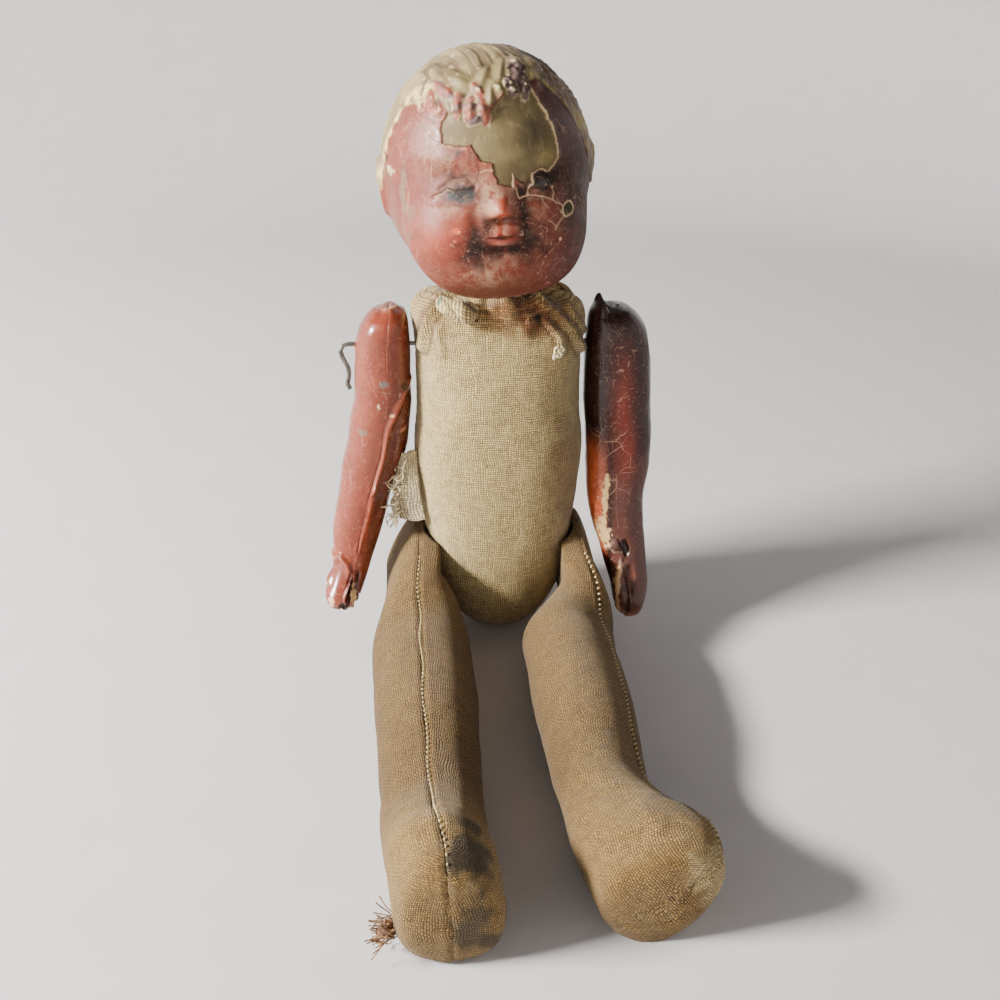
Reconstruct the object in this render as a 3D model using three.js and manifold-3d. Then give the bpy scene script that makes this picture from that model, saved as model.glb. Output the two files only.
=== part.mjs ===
// Composition doll with a stuffed cloth body, seated with its legs straight out in front.
// Millimetres and degrees. +Z is up, the doll faces -Y, and the origin is under the seat.
// Left and right are the doll's own sides, so its right side is at -X.
import * as THREE from "three";
import { mergeVertices } from "three/addons/utils/BufferGeometryUtils.js";
import Module from "manifold-3d";

const wasm = await Module();
wasm.setup();

// Gaps and cloth
const seatGap = 0.3;
const swingGap = 0.4;
const clothThickness = 0.7;

// Torso
const torsoHeight = 109.5;
const torsoWidth = 52.4;
const torsoDepth = 36;
const torsoLean = 3;
const floorCut = 0.5;
const sideSeamBack = 3;

// Neck and head
const neckRadius = 9.5;
const neckWall = 3;
const flangeLip = 2.1;
const flangeThickness = 2.5;
const headWidth = 57.4;
const headDepth = 62;
const headAboveEyes = 31.5;
const headBelowEyes = 30;
const headWall = 3;
const chinGap = 1.5;
const headTurn = 5.5;
const headRoll = 4;
const headShift = 3.6;
const faceShift = 1.6;
const jawDrop = 6;
const jawSquareness = 0.7;
const cheekSquareness = 0.35;
const noseRise = 4.2;
const noseDrop = 3.4;
const eyeSpan = 22.6;
const eyeHeight = 3.2;
const lidDrop = 1.2;
const socketSink = 1.9;
const lidRise = 1.2;
const cheekSpan = 28;
const cheekDrop = 10;
const cheekRise = 1.9;
const mouthDrop = 12.4;
const lipRise = 1.5;
const chinDrop = 21;
const chinRise = 2.4;
const fringeHeight = 24;
const earDrop = 3;
const earBack = 2;
const headSeamBack = 1.5;
const neckReach = 10.5;
const hairRise = 0.9;
const napeHairHeight = -16;
const browHairHeight = 20;
const hairTurnsDownAt = 10;
const hairIsHighAt = -20;
const hairEdgeWidth = 3;
const lockSpacing = 7.2;
const lockLean = [0.85, 0.3, -0.25];
const lockRise = 0.35;
const curlRise = 1.3;
const curlRadius = 3;
const curlPlaces = [[-12.4, 23.4], [-7.2, 22.2], [-2, 22], [3.6, 23.2], [9.2, 24.4]];
const earRise = 2.2;

// Shoulders and arms
const wireBelowTop = 19.1;
const wireHeight = torsoHeight - wireBelowTop;
const wireForward = -4;
const wireRadius = 0.7;
const wireBoreGap = 0.35;
const armAboveWire = 10.8;
const rightArmLength = 78.4;
const leftArmLength = 82;
const rightArmWidth = 18;
const leftArmWidth = 20;
const armDepth = 19.6;
const armSeamGap = 0.3;
const armSeamPlace = 0.86;
const thumbWidth = 3.2;
const pocketRadius = 5;
const pocketDepth = 2.6;
const wireBend = 1.8;
const hookReach = 4.1;
const hookDrop = 13.5;
const shoulderDiscRadius = 6;
const shoulderDiscThickness = 1.4;

// Hips and legs
const hipHeight = 18;
const hipForward = -2;
const hipSpan = 45.2;
const hipPadRadius = 7.8;
const hipBulge = 1.6;
const hipRadius = 16;
const rightHipWidth = 12;
const leftHipWidth = 7.6;
const rightLegLength = 149;
const leftLegLength = 143;
const rightThighWidth = 27.8;
const leftThighWidth = 26;
const thighHeight = 25.6;
const rightAnkleWidth = 24.8;
const leftAnkleWidth = 22.6;
const ankleHeight = 20.6;
const footRise = 11;
const thighStart = 44;
const kneeStart = 64;
const instepLength = 30;
const toeLength = 12;
const hipFront = 14;
const thighRoll = 0.92;
const innerSlope = 1.3;
const innerStart = 4.5;
const seamLift = 0.7;
const rightThighPlace = 24;
const rightAnklePlace = 22.4;
const rightSolePlace = 20;
const leftThighPlace = 18;
const leftAnklePlace = 17.8;
const leftSolePlace = 21.8;
const rightFootRoll = 8;
const leftFootRoll = 63;
const hipDiscRadius = 5.6;
const hipDiscThickness = 1.2;
const washerRadius = 3.6;
const washerThickness = 0.7;
const pinRadius = 0.9;
const pinHeadRadius = 2.4;
const pinTailLength = 4;

// Thread, string and scraps of cloth
const rollAside = 12.6;
const rollDrop = 4.9;
const rollForward = 3.1;
const rollLength = 9.2;
const knotAside = 17.3;
const knotDrop = 17;
const knotForward = 1.5;
const knotLength = 4.6;
const threadRadius = 0.35;
const stringRadius = 0.9;
const hemWidth = 3.2;
const hemThickness = 1;
const hemGather = 0.35;
const hemFolds = 10;
const tabThickness = 1;
const tabLength = 21;
const tabBelowWire = 30.7;
const tabTop = wireHeight - tabBelowWire;
const tabSpread = 3.6;
const tuftLength = 6;
const tuftWidth = 4.4;
const tuftBack = 11;
const tuftHeight = 6;

const paints = {
  skin: { color: 0x7c3526, roughness: 0.35, metalness: 0 },
  hair: { color: 0x8a7650, roughness: 0.55, metalness: 0 },
  muslin: { color: 0xb9a680, roughness: 0.95, metalness: 0 },
  stocking: { color: 0x6e5432, roughness: 0.95, metalness: 0 },
  stuffing: { color: 0xcbbd98, roughness: 1, metalness: 0 },
  card: { color: 0x9b8058, roughness: 0.9, metalness: 0 },
  steel: { color: 0x5a5c5e, roughness: 0.4, metalness: 1 },
  thread: { color: 0xd9cca8, roughness: 0.9, metalness: 0 },
};

const degrees = THREE.MathUtils.degToRad;

// A smooth curve through points whose first numbers grow, with no overshoot between them.
function smooth(points) {
  const slopes = points.map((point, i) => {
    if (i === 0 || i === points.length - 1) return 0;
    const [x0, y0] = points[i - 1];
    const [x2, y2] = points[i + 1];
    const before = (point[1] - y0) / (point[0] - x0);
    const after = (y2 - point[1]) / (x2 - point[0]);
    if (before * after <= 0) return 0;
    return (2 * before * after) / (before + after);
  });
  slopes[0] = (points[1][1] - points[0][1]) / (points[1][0] - points[0][0]);
  return (x) => {
    const last = points.length - 1;
    if (x <= points[0][0]) return points[0][1];
    if (x >= points[last][0]) return points[last][1];
    const i = points.findIndex((point) => point[0] > x) - 1;
    const width = points[i + 1][0] - points[i][0];
    const t = (x - points[i][0]) / width;
    const rise = points[i + 1][1] - points[i][1];
    const bend = t * (1 - t) * ((1 - t) * (slopes[i] * width - rise) - t * (slopes[i + 1] * width - rise));
    return points[i][1] + t * rise + bend;
  };
}

// Closed shapes as manifold solids, and back to named meshes
function solidFrom(geometry) {
  const bare = geometry.clone();
  bare.deleteAttribute("normal");
  bare.deleteAttribute("uv");
  const merged = mergeVertices(bare, 1e-4);
  return new wasm.Manifold(
    new wasm.Mesh({
      numProp: 3,
      vertProperties: new Float32Array(merged.attributes.position.array),
      triVerts: new Uint32Array(merged.index.array),
    }),
  );
}

// A solid through rings of points, with a flat fan at each end.
function loft(rings) {
  const count = rings[0].length;
  const points = rings.flat();
  const faces = [];
  for (let r = 0; r + 1 < rings.length; r++) {
    for (let i = 0; i < count; i++) {
      const a = r * count + i;
      const b = r * count + ((i + 1) % count);
      faces.push(a, b, b + count, a, b + count, a + count);
    }
  }
  [rings[0], rings[rings.length - 1]].forEach((ring, end) => {
    const middle = ring.reduce((sum, point) => sum.add(point), new THREE.Vector3()).divideScalar(count);
    points.push(middle);
    const centre = points.length - 1;
    const start = end ? (rings.length - 1) * count : 0;
    for (let i = 0; i < count; i++) {
      const a = start + i;
      const b = start + ((i + 1) % count);
      if (end) faces.push(a, b, centre);
      else faces.push(b, a, centre);
    }
  });
  const volume = faces.reduce((sum, _, i) => {
    if (i % 3) return sum;
    const [a, b, c] = [points[faces[i]], points[faces[i + 1]], points[faces[i + 2]]];
    return sum + a.dot(new THREE.Vector3().crossVectors(b, c));
  }, 0);
  if (volume < 0) faces.reverse();
  const geometry = new THREE.BufferGeometry().setFromPoints(points).setIndex(faces);
  return solidFrom(geometry);
}

function box(low, high) {
  const size = new THREE.Vector3().subVectors(high, low);
  const geometry = new THREE.BoxGeometry(size.x, size.y, size.z);
  geometry.translate((low.x + high.x) / 2, (low.y + high.y) / 2, (low.z + high.z) / 2);
  return solidFrom(geometry);
}

// A round bar along X, Y or Z between two places on that axis.
function bar(axis, from, to, radius, centre, sides = 16) {
  const geometry = new THREE.CylinderGeometry(radius, radius, Math.abs(to - from), sides);
  if (axis === "x") geometry.rotateZ(Math.PI / 2);
  if (axis === "z") geometry.rotateX(Math.PI / 2);
  const place = centre.clone();
  place[axis] = (from + to) / 2;
  geometry.translate(place.x, place.y, place.z);
  return solidFrom(geometry);
}

// A turned shape about the Z axis through a centre, from pairs of radius and height.
function turned(profile, centre, sides = 24) {
  const outline = profile.map(([radius, height]) => new THREE.Vector2(radius, height));
  const geometry = new THREE.LatheGeometry(outline, sides);
  geometry.rotateX(Math.PI / 2);
  geometry.translate(centre.x, centre.y, centre.z);
  return solidFrom(geometry);
}

function sweep(points, radius, steps, sides = 8) {
  const path = new THREE.CatmullRomCurve3(points, false, "centripetal");
  const section = new THREE.Shape();
  section.absarc(0, 0, radius, 0, 2 * Math.PI);
  const settings = { steps, curveSegments: sides / 2, extrudePath: path, bevelEnabled: false };
  return solidFrom(new THREE.ExtrudeGeometry(section, settings));
}

const far = 400;
const everythingAbove = (z) => box(new THREE.Vector3(-far, -far, z), new THREE.Vector3(far, far, far));

const doll = new THREE.Group();
function piece(name, solid, paint) {
  const { vertProperties, triVerts } = solid.getMesh();
  const geometry = new THREE.BufferGeometry();
  geometry.setAttribute("position", new THREE.BufferAttribute(new Float32Array(vertProperties), 3));
  geometry.setIndex(new THREE.BufferAttribute(new Uint32Array(triVerts), 1));
  geometry.computeVertexNormals();
  const mesh = new THREE.Mesh(geometry, new THREE.MeshStandardMaterial(paints[paint]));
  mesh.name = name;
  doll.add(mesh);
  return mesh;
}

// A rounded-square ring: power 2 is an ellipse, and more is squarer.
function roundedRing(count, power, place) {
  return Array.from({ length: count }, (_, i) => {
    const angle = (2 * Math.PI * (i + 0.5)) / count;
    const across = Math.sign(Math.cos(angle)) * Math.abs(Math.cos(angle)) ** (2 / power);
    const up = Math.sign(Math.sin(angle)) * Math.abs(Math.sin(angle)) ** (2 / power);
    return place(across, up);
  });
}

// Torso: a sewn bag that narrows to a round seat and is drawn in to a collar round the neck.
const torsoPower = 2.3;
const torsoHalfWidth = smooth([
  [0, 0.22], [0.02, 0.37], [0.06, 0.53], [0.11, 0.65], [0.166, 0.745], [0.293, 0.853], [0.423, 0.965],
  [0.54, 1], [0.66, 0.97], [0.83, 0.97], [0.9, 0.95], [0.94, 0.89], [0.96, 0.74], [0.975, 0.57],
]);
const torsoHalfDepth = smooth([
  [0, 0.3], [0.02, 0.58], [0.06, 0.78], [0.12, 0.89], [0.19, 0.95], [0.26, 0.98], [0.375, 1],
  [0.53, 1], [0.68, 0.97], [0.83, 0.9], [0.9, 0.81], [0.94, 0.74], [0.975, 0.66],
]);
const collarHeight = 0.975;
const torsoLevels = [0, 0.02, 0.06, 0.12, 0.19, 0.27, 0.36, 0.46, 0.58, 0.7, 0.8, 0.87, 0.92, 0.95, 0.963];
const torsoMiddle = (z) => Math.tan(degrees(torsoLean)) * z;
const neckMiddle = new THREE.Vector3(0, torsoMiddle(torsoHeight), 0);
const collarRadius = neckRadius + seatGap + clothThickness;
const flangeRadius = neckRadius + flangeLip;
const flangeSpace = flangeRadius + 2 * seatGap + clothThickness;
const outsideSides = 22;
const insideSides = 14;

function torsoBag(inset) {
  const sides = inset ? insideSides : outsideSides;
  const rings = torsoLevels.map((share) => {
    const z = -floorCut + inset + share * (torsoHeight + floorCut - 2 * inset);
    const least = share > 0.9 ? flangeSpace : 1;
    const halfWidth = Math.max(least, (torsoHalfWidth(share) * torsoWidth) / 2) - inset;
    const halfDepth = Math.max(least, (torsoHalfDepth(share) * torsoDepth) / 2) - inset;
    return roundedRing(sides, torsoPower, (across, up) => {
      return new THREE.Vector3(across * halfWidth, torsoMiddle(z) + up * halfDepth, z);
    });
  });
  const collar = [collarHeight, 1].map((share) => {
    const z = -floorCut + inset + share * (torsoHeight + floorCut - 2 * inset);
    return roundedRing(sides, 2, (across, up) => {
      const radius = collarRadius - inset;
      return new THREE.Vector3(across * radius, neckMiddle.y + up * radius, z);
    });
  });
  return loft([...rings, ...collar]);
}

// The hip pads are where the pins draw the torso cloth out to meet the legs.
const hipMiddle = new THREE.Vector3(0, -hipForward, hipHeight);
function hipPads(inset) {
  const half = hipSpan / 2 - inset;
  const radius = hipPadRadius - inset;
  const soft = 1.2;
  const profile = [[0, -half], [radius - soft, -half], [radius, soft - half], [radius, half - soft]];
  profile.push([radius - soft, half], [0, half]);
  const outline = profile.map(([r, x]) => new THREE.Vector2(r, x));
  const geometry = new THREE.LatheGeometry(outline, 20);
  geometry.rotateZ(Math.PI / 2);
  geometry.translate(hipMiddle.x, hipMiddle.y, hipMiddle.z);
  return solidFrom(geometry);
}

const torsoSolid = (inset) => torsoBag(inset).add(hipPads(inset)).intersect(everythingAbove(inset));
const torsoFront = (x, z) => {
  const share = (z + floorCut) / (torsoHeight + floorCut);
  const reach = Math.min(0.98, Math.abs(x) / ((torsoHalfWidth(share) * torsoWidth) / 2));
  const depth = (1 - reach ** torsoPower) ** (1 / torsoPower);
  return torsoMiddle(z) - (depth * torsoHalfDepth(share) * torsoDepth) / 2;
};

const wireMiddle = new THREE.Vector3(0, -wireForward, wireHeight);
const wirePassage = bar("x", -torsoWidth, torsoWidth, wireRadius + wireBoreGap, wireMiddle, 12);
const pinPassage = bar("x", -hipSpan, hipSpan, pinRadius + seatGap, hipMiddle, 12);
const neckPassage = bar("z", torsoHeight / 2, far, neckRadius + seatGap, neckMiddle, 24);
const torsoInside = torsoSolid(clothThickness);
const torsoShell = torsoSolid(0).subtract(torsoInside).subtract(wirePassage).subtract(pinPassage)
  .subtract(neckPassage);

// The side seams run a little behind the middle, leaning back with the torso.
function sideSeamCut(front) {
  const seam = sideSeamBack + (front ? -seatGap / 2 : seatGap / 2);
  const depth = front ? -far : far;
  const ring = (z) => {
    const y = torsoMiddle(z) + seam;
    const corners = [[-far, y], [far, y], [far, y + depth], [-far, y + depth]];
    return corners.map(([x, place]) => new THREE.Vector3(x, place, z));
  };
  return loft([ring(-far / 2), ring(far / 2)]);
}
piece("torso_front_cloth", torsoShell.intersect(sideSeamCut(true)), "muslin");
piece("torso_back_cloth", torsoShell.intersect(sideSeamCut(false)), "muslin");

// Neck joint: the flange sits under the drawn-in cloth, and the string ties it there.
const flangeRoof = torsoHeight * 0.955 - clothThickness - seatGap;
const flangeFloor = flangeRoof - flangeThickness;
const flangeRoom = bar("z", flangeFloor - seatGap, far, flangeRadius + seatGap, neckMiddle, 24);

// Inner parts of the shoulder and hip joints, and the room that the stuffing leaves them
const torsoSide = (y, z) => {
  const share = (z + floorCut) / (torsoHeight + floorCut);
  const reach = Math.min(0.98, Math.abs(y - torsoMiddle(z)) / ((torsoHalfDepth(share) * torsoDepth) / 2));
  return ((1 - reach ** torsoPower) ** (1 / torsoPower) * torsoHalfWidth(share) * torsoWidth) / 2;
};
const discRim = [[-1, 0], [1, 0], [0, -1], [0, 1]].map(([y, z]) => {
  return torsoSide(wireMiddle.y + y * shoulderDiscRadius, wireHeight + z * shoulderDiscRadius);
});
const discPlace = Math.min(...discRim) - clothThickness - 4 * seatGap - shoulderDiscThickness;
const padWall = hipSpan / 2 - clothThickness - seatGap;
const innerDisc = [padWall - hipDiscThickness, padWall];
const innerWasher = [innerDisc[0] - seatGap - washerThickness, innerDisc[0] - seatGap];
const pinTail = innerWasher[0] - seatGap;
const legWall = hipSpan / 2 + swingGap + clothThickness + seatGap;
const outerDisc = [legWall, legWall + hipDiscThickness];
const outerWasher = [outerDisc[1] + seatGap, outerDisc[1] + seatGap + washerThickness];
const pinHead = outerWasher[1] + seatGap;

let torsoFill = torsoSolid(clothThickness + seatGap).subtract(wirePassage).subtract(flangeRoom);
for (const side of [-1, 1]) {
  const low = discPlace - seatGap;
  torsoFill = torsoFill.subtract(
    bar("x", side * low, side * torsoWidth, shoulderDiscRadius + seatGap, wireMiddle),
  );
  const tailRoom = pinTail - 2 * pinRadius - seatGap;
  torsoFill = torsoFill.subtract(
    bar("x", side * tailRoom, side * hipSpan, hipDiscRadius + seatGap, hipMiddle),
  );
}
piece("torso_stuffing", torsoFill, "stuffing");

for (const [name, side] of [["right", -1], ["left", 1]]) {
  const disc = bar("x", side * discPlace, side * (discPlace + shoulderDiscThickness),
    shoulderDiscRadius, wireMiddle).subtract(wirePassage);
  piece(name + "_shoulder_disc", disc, "card");
  const hipDisc = bar("x", side * innerDisc[0], side * innerDisc[1], hipDiscRadius, hipMiddle);
  piece(name + "_hip_body_disc", hipDisc.subtract(pinPassage), "card");
  const washer = bar("x", side * innerWasher[0], side * innerWasher[1], washerRadius, hipMiddle, 12);
  piece(name + "_hip_body_washer", washer.subtract(pinPassage), "steel");
  const legDisc = bar("x", side * outerDisc[0], side * outerDisc[1], hipDiscRadius, hipMiddle);
  piece(name + "_hip_leg_disc", legDisc.subtract(pinPassage), "card");
  const legWasher = bar("x", side * outerWasher[0], side * outerWasher[1], washerRadius, hipMiddle, 12);
  piece(name + "_hip_leg_washer", legWasher.subtract(pinPassage), "steel");

  // The pin has a flat head in the leg and two tails bent apart in the torso.
  const head = bar("x", side * pinHead, side * (pinHead + 2 * pinRadius), pinHeadRadius, hipMiddle, 16);
  const shank = bar("x", side * (pinTail - pinRadius), side * (pinHead + pinRadius), pinRadius, hipMiddle, 12);
  const bend = hipMiddle.clone().setX(side * (pinTail - pinRadius));
  const tails = bar("z", hipHeight - pinTailLength, hipHeight + pinTailLength, pinRadius, bend, 12);
  piece(name + "_hip_pin", head.add(shank).add(tails), "steel");
}

// Neck string and hem: the string lies in the drawn-in cloth, and the hem is turned over above it.
const collarBase = -floorCut + collarHeight * (torsoHeight + floorCut);
const stringHeight = collarBase + stringRadius + seatGap / 2;
const ringRadius = collarRadius + seatGap + stringRadius;
const roundOutline = (radius, height, thick, sides) => Array.from({ length: sides + 1 }, (_, i) => {
  const angle = (2 * Math.PI * i) / sides;
  return [radius + thick * Math.cos(angle), height + thick * Math.sin(angle)];
});
piece("neck_string", turned(roundOutline(ringRadius, stringHeight, stringRadius, 6), neckMiddle), "thread");

const hemRadius = collarRadius + hemWidth / 2;
const hemHeight = stringHeight + stringRadius + seatGap + hemThickness;
const hemRings = Array.from({ length: 40 }, (_, i) => {
  const angle = (2 * Math.PI * i) / 40;
  const gather = hemGather * Math.cos(hemFolds * angle);
  const outward = new THREE.Vector3(Math.cos(angle), Math.sin(angle), 0);
  return [[-1.3, 0], [-0.7, 0.9], [0.7, 0.9], [1.5, 0], [0.8, -0.8], [-0.7, -0.8]].map(([out, up]) => {
    return outward.clone().multiplyScalar(hemRadius + out + (out > 0 ? gather : 0))
      .add(new THREE.Vector3(0, neckMiddle.y, hemHeight + up));
  });
});

// A closed band through rings that follow each other round a loop
function loop(rings) {
  const count = rings[0].length;
  const faces = [];
  rings.forEach((_, r) => {
    for (let i = 0; i < count; i++) {
      const next = ((r + 1) % rings.length) * count;
      const a = r * count + i;
      const b = r * count + ((i + 1) % count);
      const c = next + ((i + 1) % count);
      faces.push(a, c, b, a, next + i, c);
    }
  });
  const geometry = new THREE.BufferGeometry().setFromPoints(rings.flat()).setIndex(faces);
  const made = solidFrom(geometry);
  return made.volume() > 0 ? made : solidFrom(geometry.setIndex(faces.reverse()));
}
piece("neck_hem", loop(hemRings), "muslin");

// A twisted lump of cloth or thread that lies on the front of the torso
function lump(centre, size, turns) {
  const rings = [-1, -0.8, -0.4, 0, 0.4, 0.8, 1].map((along) => {
    const girth = Math.sqrt(Math.max(0.04, 1 - along * along));
    return roundedRing(10, 2, (across, up) => {
      const twist = along * turns;
      const y = up * Math.cos(twist) - across * Math.sin(twist);
      const z = across * Math.cos(twist) + up * Math.sin(twist);
      return new THREE.Vector3(along * size.x, y * girth * size.y, z * girth * size.z).add(centre);
    });
  });
  return loft(rings);
}
const rollPlace = new THREE.Vector3(-rollAside, 0, torsoHeight - rollDrop);
rollPlace.y = torsoFront(rollPlace.x, rollPlace.z) - rollForward;
piece("neck_cloth_roll", lump(rollPlace, new THREE.Vector3(rollLength / 2, 2.2, 2.4), 0.9), "muslin");
const knotPlace = new THREE.Vector3(knotAside, 0, torsoHeight - knotDrop);
knotPlace.y = torsoFront(knotPlace.x, knotPlace.z) - knotForward;
piece("chest_thread_knot", lump(knotPlace, new THREE.Vector3(knotLength / 2, 0.8, 1.6), 0.4), "thread");

// Frayed tab at the right side seam: a strip that hangs and curls forward.
const tabRings = [0, 0.25, 0.5, 0.75, 1].map((share) => {
  const z = tabTop - share * tabLength;
  const side = (torsoHalfWidth(z / torsoHeight) * torsoWidth) / 2;
  const reach = tabThickness + tabSpread * Math.sin(0.5 * Math.PI * share);
  const front = torsoMiddle(z) - 3.5 - 3.5 * share;
  const root = -side - seatGap - 0.2;
  return [[root, front + tabThickness], [root, front], [root - reach, front - 1.2],
    [root - reach, front - 1.2 + tabThickness]].map(([x, y]) => new THREE.Vector3(x, y, z));
});
piece("side_tab", loft(tabRings), "muslin");

// Arms: pressed in an outer and an inner half, with a bore for the wire.
const armInside = 0.97 * (torsoWidth / 2) + swingGap;
const armPower = 2.3;

// Each arm has pairs of distance below the wire, as a share, and a place or size there.
const rightArm = {
  side: -1,
  length: rightArmLength,
  width: rightArmWidth,
  inside: smooth([[-1, 0], [0.2, 0], [0.3, 0.7], [0.39, 1.6], [0.46, 3.4], [0.545, 6.2], [0.69, 9.6],
    [0.84, 13.8], [1, 17.6]]),
  widths: smooth([[-1, 0.72], [-0.5, 0.83], [0, 0.9], [0.19, 0.94], [0.3, 1], [0.43, 1.01], [0.545, 0.9],
    [0.69, 0.84], [0.83, 0.65], [0.92, 0.66], [1, 0.5]]),
  forward: smooth([[-1, 0], [0, 0], [0.24, 1], [0.43, 2.5], [0.545, 5], [0.69, 8.5], [0.84, 13], [1, 18]]),
};
const leftArm = {
  side: 1,
  length: leftArmLength,
  width: leftArmWidth,
  inside: smooth([[-1, 0], [0.2, 0], [0.33, 0.8], [0.39, 1], [0.56, 1.3], [0.67, 2.9], [0.74, 4.9], [0.81, 6.5],
    [0.87, 8], [0.93, 9.4], [1, 10.6]]),
  widths: smooth([[-1, 0.76], [-0.5, 0.88], [0, 0.96], [0.23, 1.01], [0.45, 0.98], [0.56, 0.88], [0.67, 0.79],
    [0.74, 0.71], [0.81, 0.65], [0.88, 0.57], [1, 0.36]]),
  forward: smooth([[-1, 0], [0, 0], [0.24, 1], [0.43, 3], [0.545, 6], [0.67, 10], [0.8, 15], [1, 21]]),
};
const armDepths = smooth([[-1, 1], [0.24, 0.98], [0.43, 0.95], [0.6, 0.84], [0.72, 0.68], [0.82, 0.6],
  [0.92, 0.62], [1, 0.4]]);

function armSection(arm, share, shrink) {
  const below = share < 0 ? share * armAboveWire : share * arm.length;
  const half = (arm.widths(share) * arm.width) / 2;
  const middle = armInside + arm.inside(share) + half;
  const halfDepth = (armDepths(share) * armDepth) / 2;
  const y = wireMiddle.y - arm.forward(share);
  return roundedRing(18, armPower, (across, up) => {
    const x = arm.side * (middle + across * half * shrink);
    return new THREE.Vector3(x, y + up * halfDepth * shrink, wireHeight - below);
  });
}

// The fingers are pressed together and curl forward, and the thumb stands beside them.
function armSolid(arm) {
  const crown = [[-1, 0.3], [-0.94, 0.55], [-0.75, 0.8], [-0.45, 0.95]];
  const shares = [-0.1, 0.12, 0.24, 0.34, 0.43, 0.545, 0.62, 0.69, 0.76, 0.82, 0.87, 0.92, 0.96];
  const rings = crown.map(([share, shrink]) => armSection(arm, share, shrink));
  shares.forEach((share) => rings.push(armSection(arm, share, 1)));
  rings.push(armSection(arm, 0.985, 0.85), armSection(arm, 1, 0.5));
  const root = armPoint(arm, 0.85, -0.2, -0.5);
  const tip = armPoint(arm, 0.95, -0.75, -1.25);
  const knuckle = root.clone().lerp(tip, 0.55).add(new THREE.Vector3(0, -0.6, 0));
  const thumb = sweep([root, knuckle, tip], thumbWidth / 2, 6);
  return loft(rings).add(thumb);
}
function armPoint(arm, share, across, up) {
  const half = (arm.widths(share) * arm.width) / 2;
  const x = arm.side * (armInside + arm.inside(share) + half * (1 + across));
  const y = wireMiddle.y - arm.forward(share) + (up * armDepths(share) * armDepth) / 2;
  return new THREE.Vector3(x, y, wireHeight - share * arm.length);
}

const armBore = bar("x", -far / 2, far / 2, wireRadius + wireBoreGap, wireMiddle, 12);
const leftArmFace = armInside + leftArmWidth * leftArm.widths(0);
const wirePocket = bar("x", leftArmFace - pocketDepth, far / 2, pocketRadius, wireMiddle, 20);

// The raised line down each arm is where the two halves meet.
function armSeamCut(arm, outer) {
  const rings = [-3, -1, 0, 0.24, 0.43, 0.545, 0.69, 0.84, 1, 3].map((share) => {
    const held = THREE.MathUtils.clamp(share, -1, 1);
    const half = (arm.widths(held) * arm.width) / 2;
    const seam = armInside + arm.inside(held) + half * armSeamPlace + ((outer ? 1 : -1) * armSeamGap) / 2;
    const reach = outer ? far / 2 : -far / 2;
    const z = wireHeight - (share < 0 ? share * armAboveWire : share * arm.length);
    const corners = [[seam, -far], [seam + reach, -far], [seam + reach, far], [seam, far]];
    return corners.map(([x, y]) => new THREE.Vector3(arm.side * x, y, z));
  });
  return loft(rings);
}
for (const [name, arm] of [["right_arm", rightArm], ["left_arm", leftArm]]) {
  let whole = armSolid(arm).subtract(armBore);
  if (arm === leftArm) whole = whole.subtract(wirePocket);
  piece(name + "_outer_half", whole.intersect(armSeamCut(arm, true)), "skin");
  piece(name + "_inner_half", whole.intersect(armSeamCut(arm, false)), "skin");
}

// Shoulder wire: straight through both arms, bent flat in the left arm's pocket and hooked outside the right.
const hookFoot = hookDrop / rightArmLength;
const rightArmFace = armInside + rightArmWidth * rightArm.widths(0);
const hookIn = armInside + rightArm.inside(hookFoot) + rightArmWidth * rightArm.widths(hookFoot)
  + seatGap + wireRadius;
const hookOut = rightArmFace + hookReach;
const at = (x, back, up) => new THREE.Vector3(x, wireMiddle.y + back, wireHeight + up);
const wireEnd = leftArmFace - pocketDepth + seatGap + wireRadius;
const wirePath = [
  at(wireEnd, pocketRadius - 2 * wireRadius, 0),
  at(wireEnd, 0.9 * wireBend, 0),
  at(wireEnd - 0.26 * wireBend, 0.26 * wireBend, 0),
  at(wireEnd - wireBend, 0, 0),
  at(0.5 * wireEnd, 0, 0),
  at(0, 0, 0),
  at(-0.5 * rightArmFace, 0, 0),
  at(-rightArmFace + 1, 0, 0),
  at(-hookOut + 1.2, -0.2, -0.1),
  at(-hookOut, -0.4, -0.11 * hookDrop),
  at(-hookOut + 0.5, -0.6, -0.28 * hookDrop),
  at(-hookIn - 0.5, -0.8, -0.52 * hookDrop),
  at(-hookIn - 0.3, -1, -0.7 * hookDrop),
  at(-hookIn - 0.9, -1, -0.87 * hookDrop),
  at(-hookIn - 0.2, -1.2, -hookDrop),
];
piece("shoulder_wire", sweep(wirePath, wireRadius, 60, 6), "steel");

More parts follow.
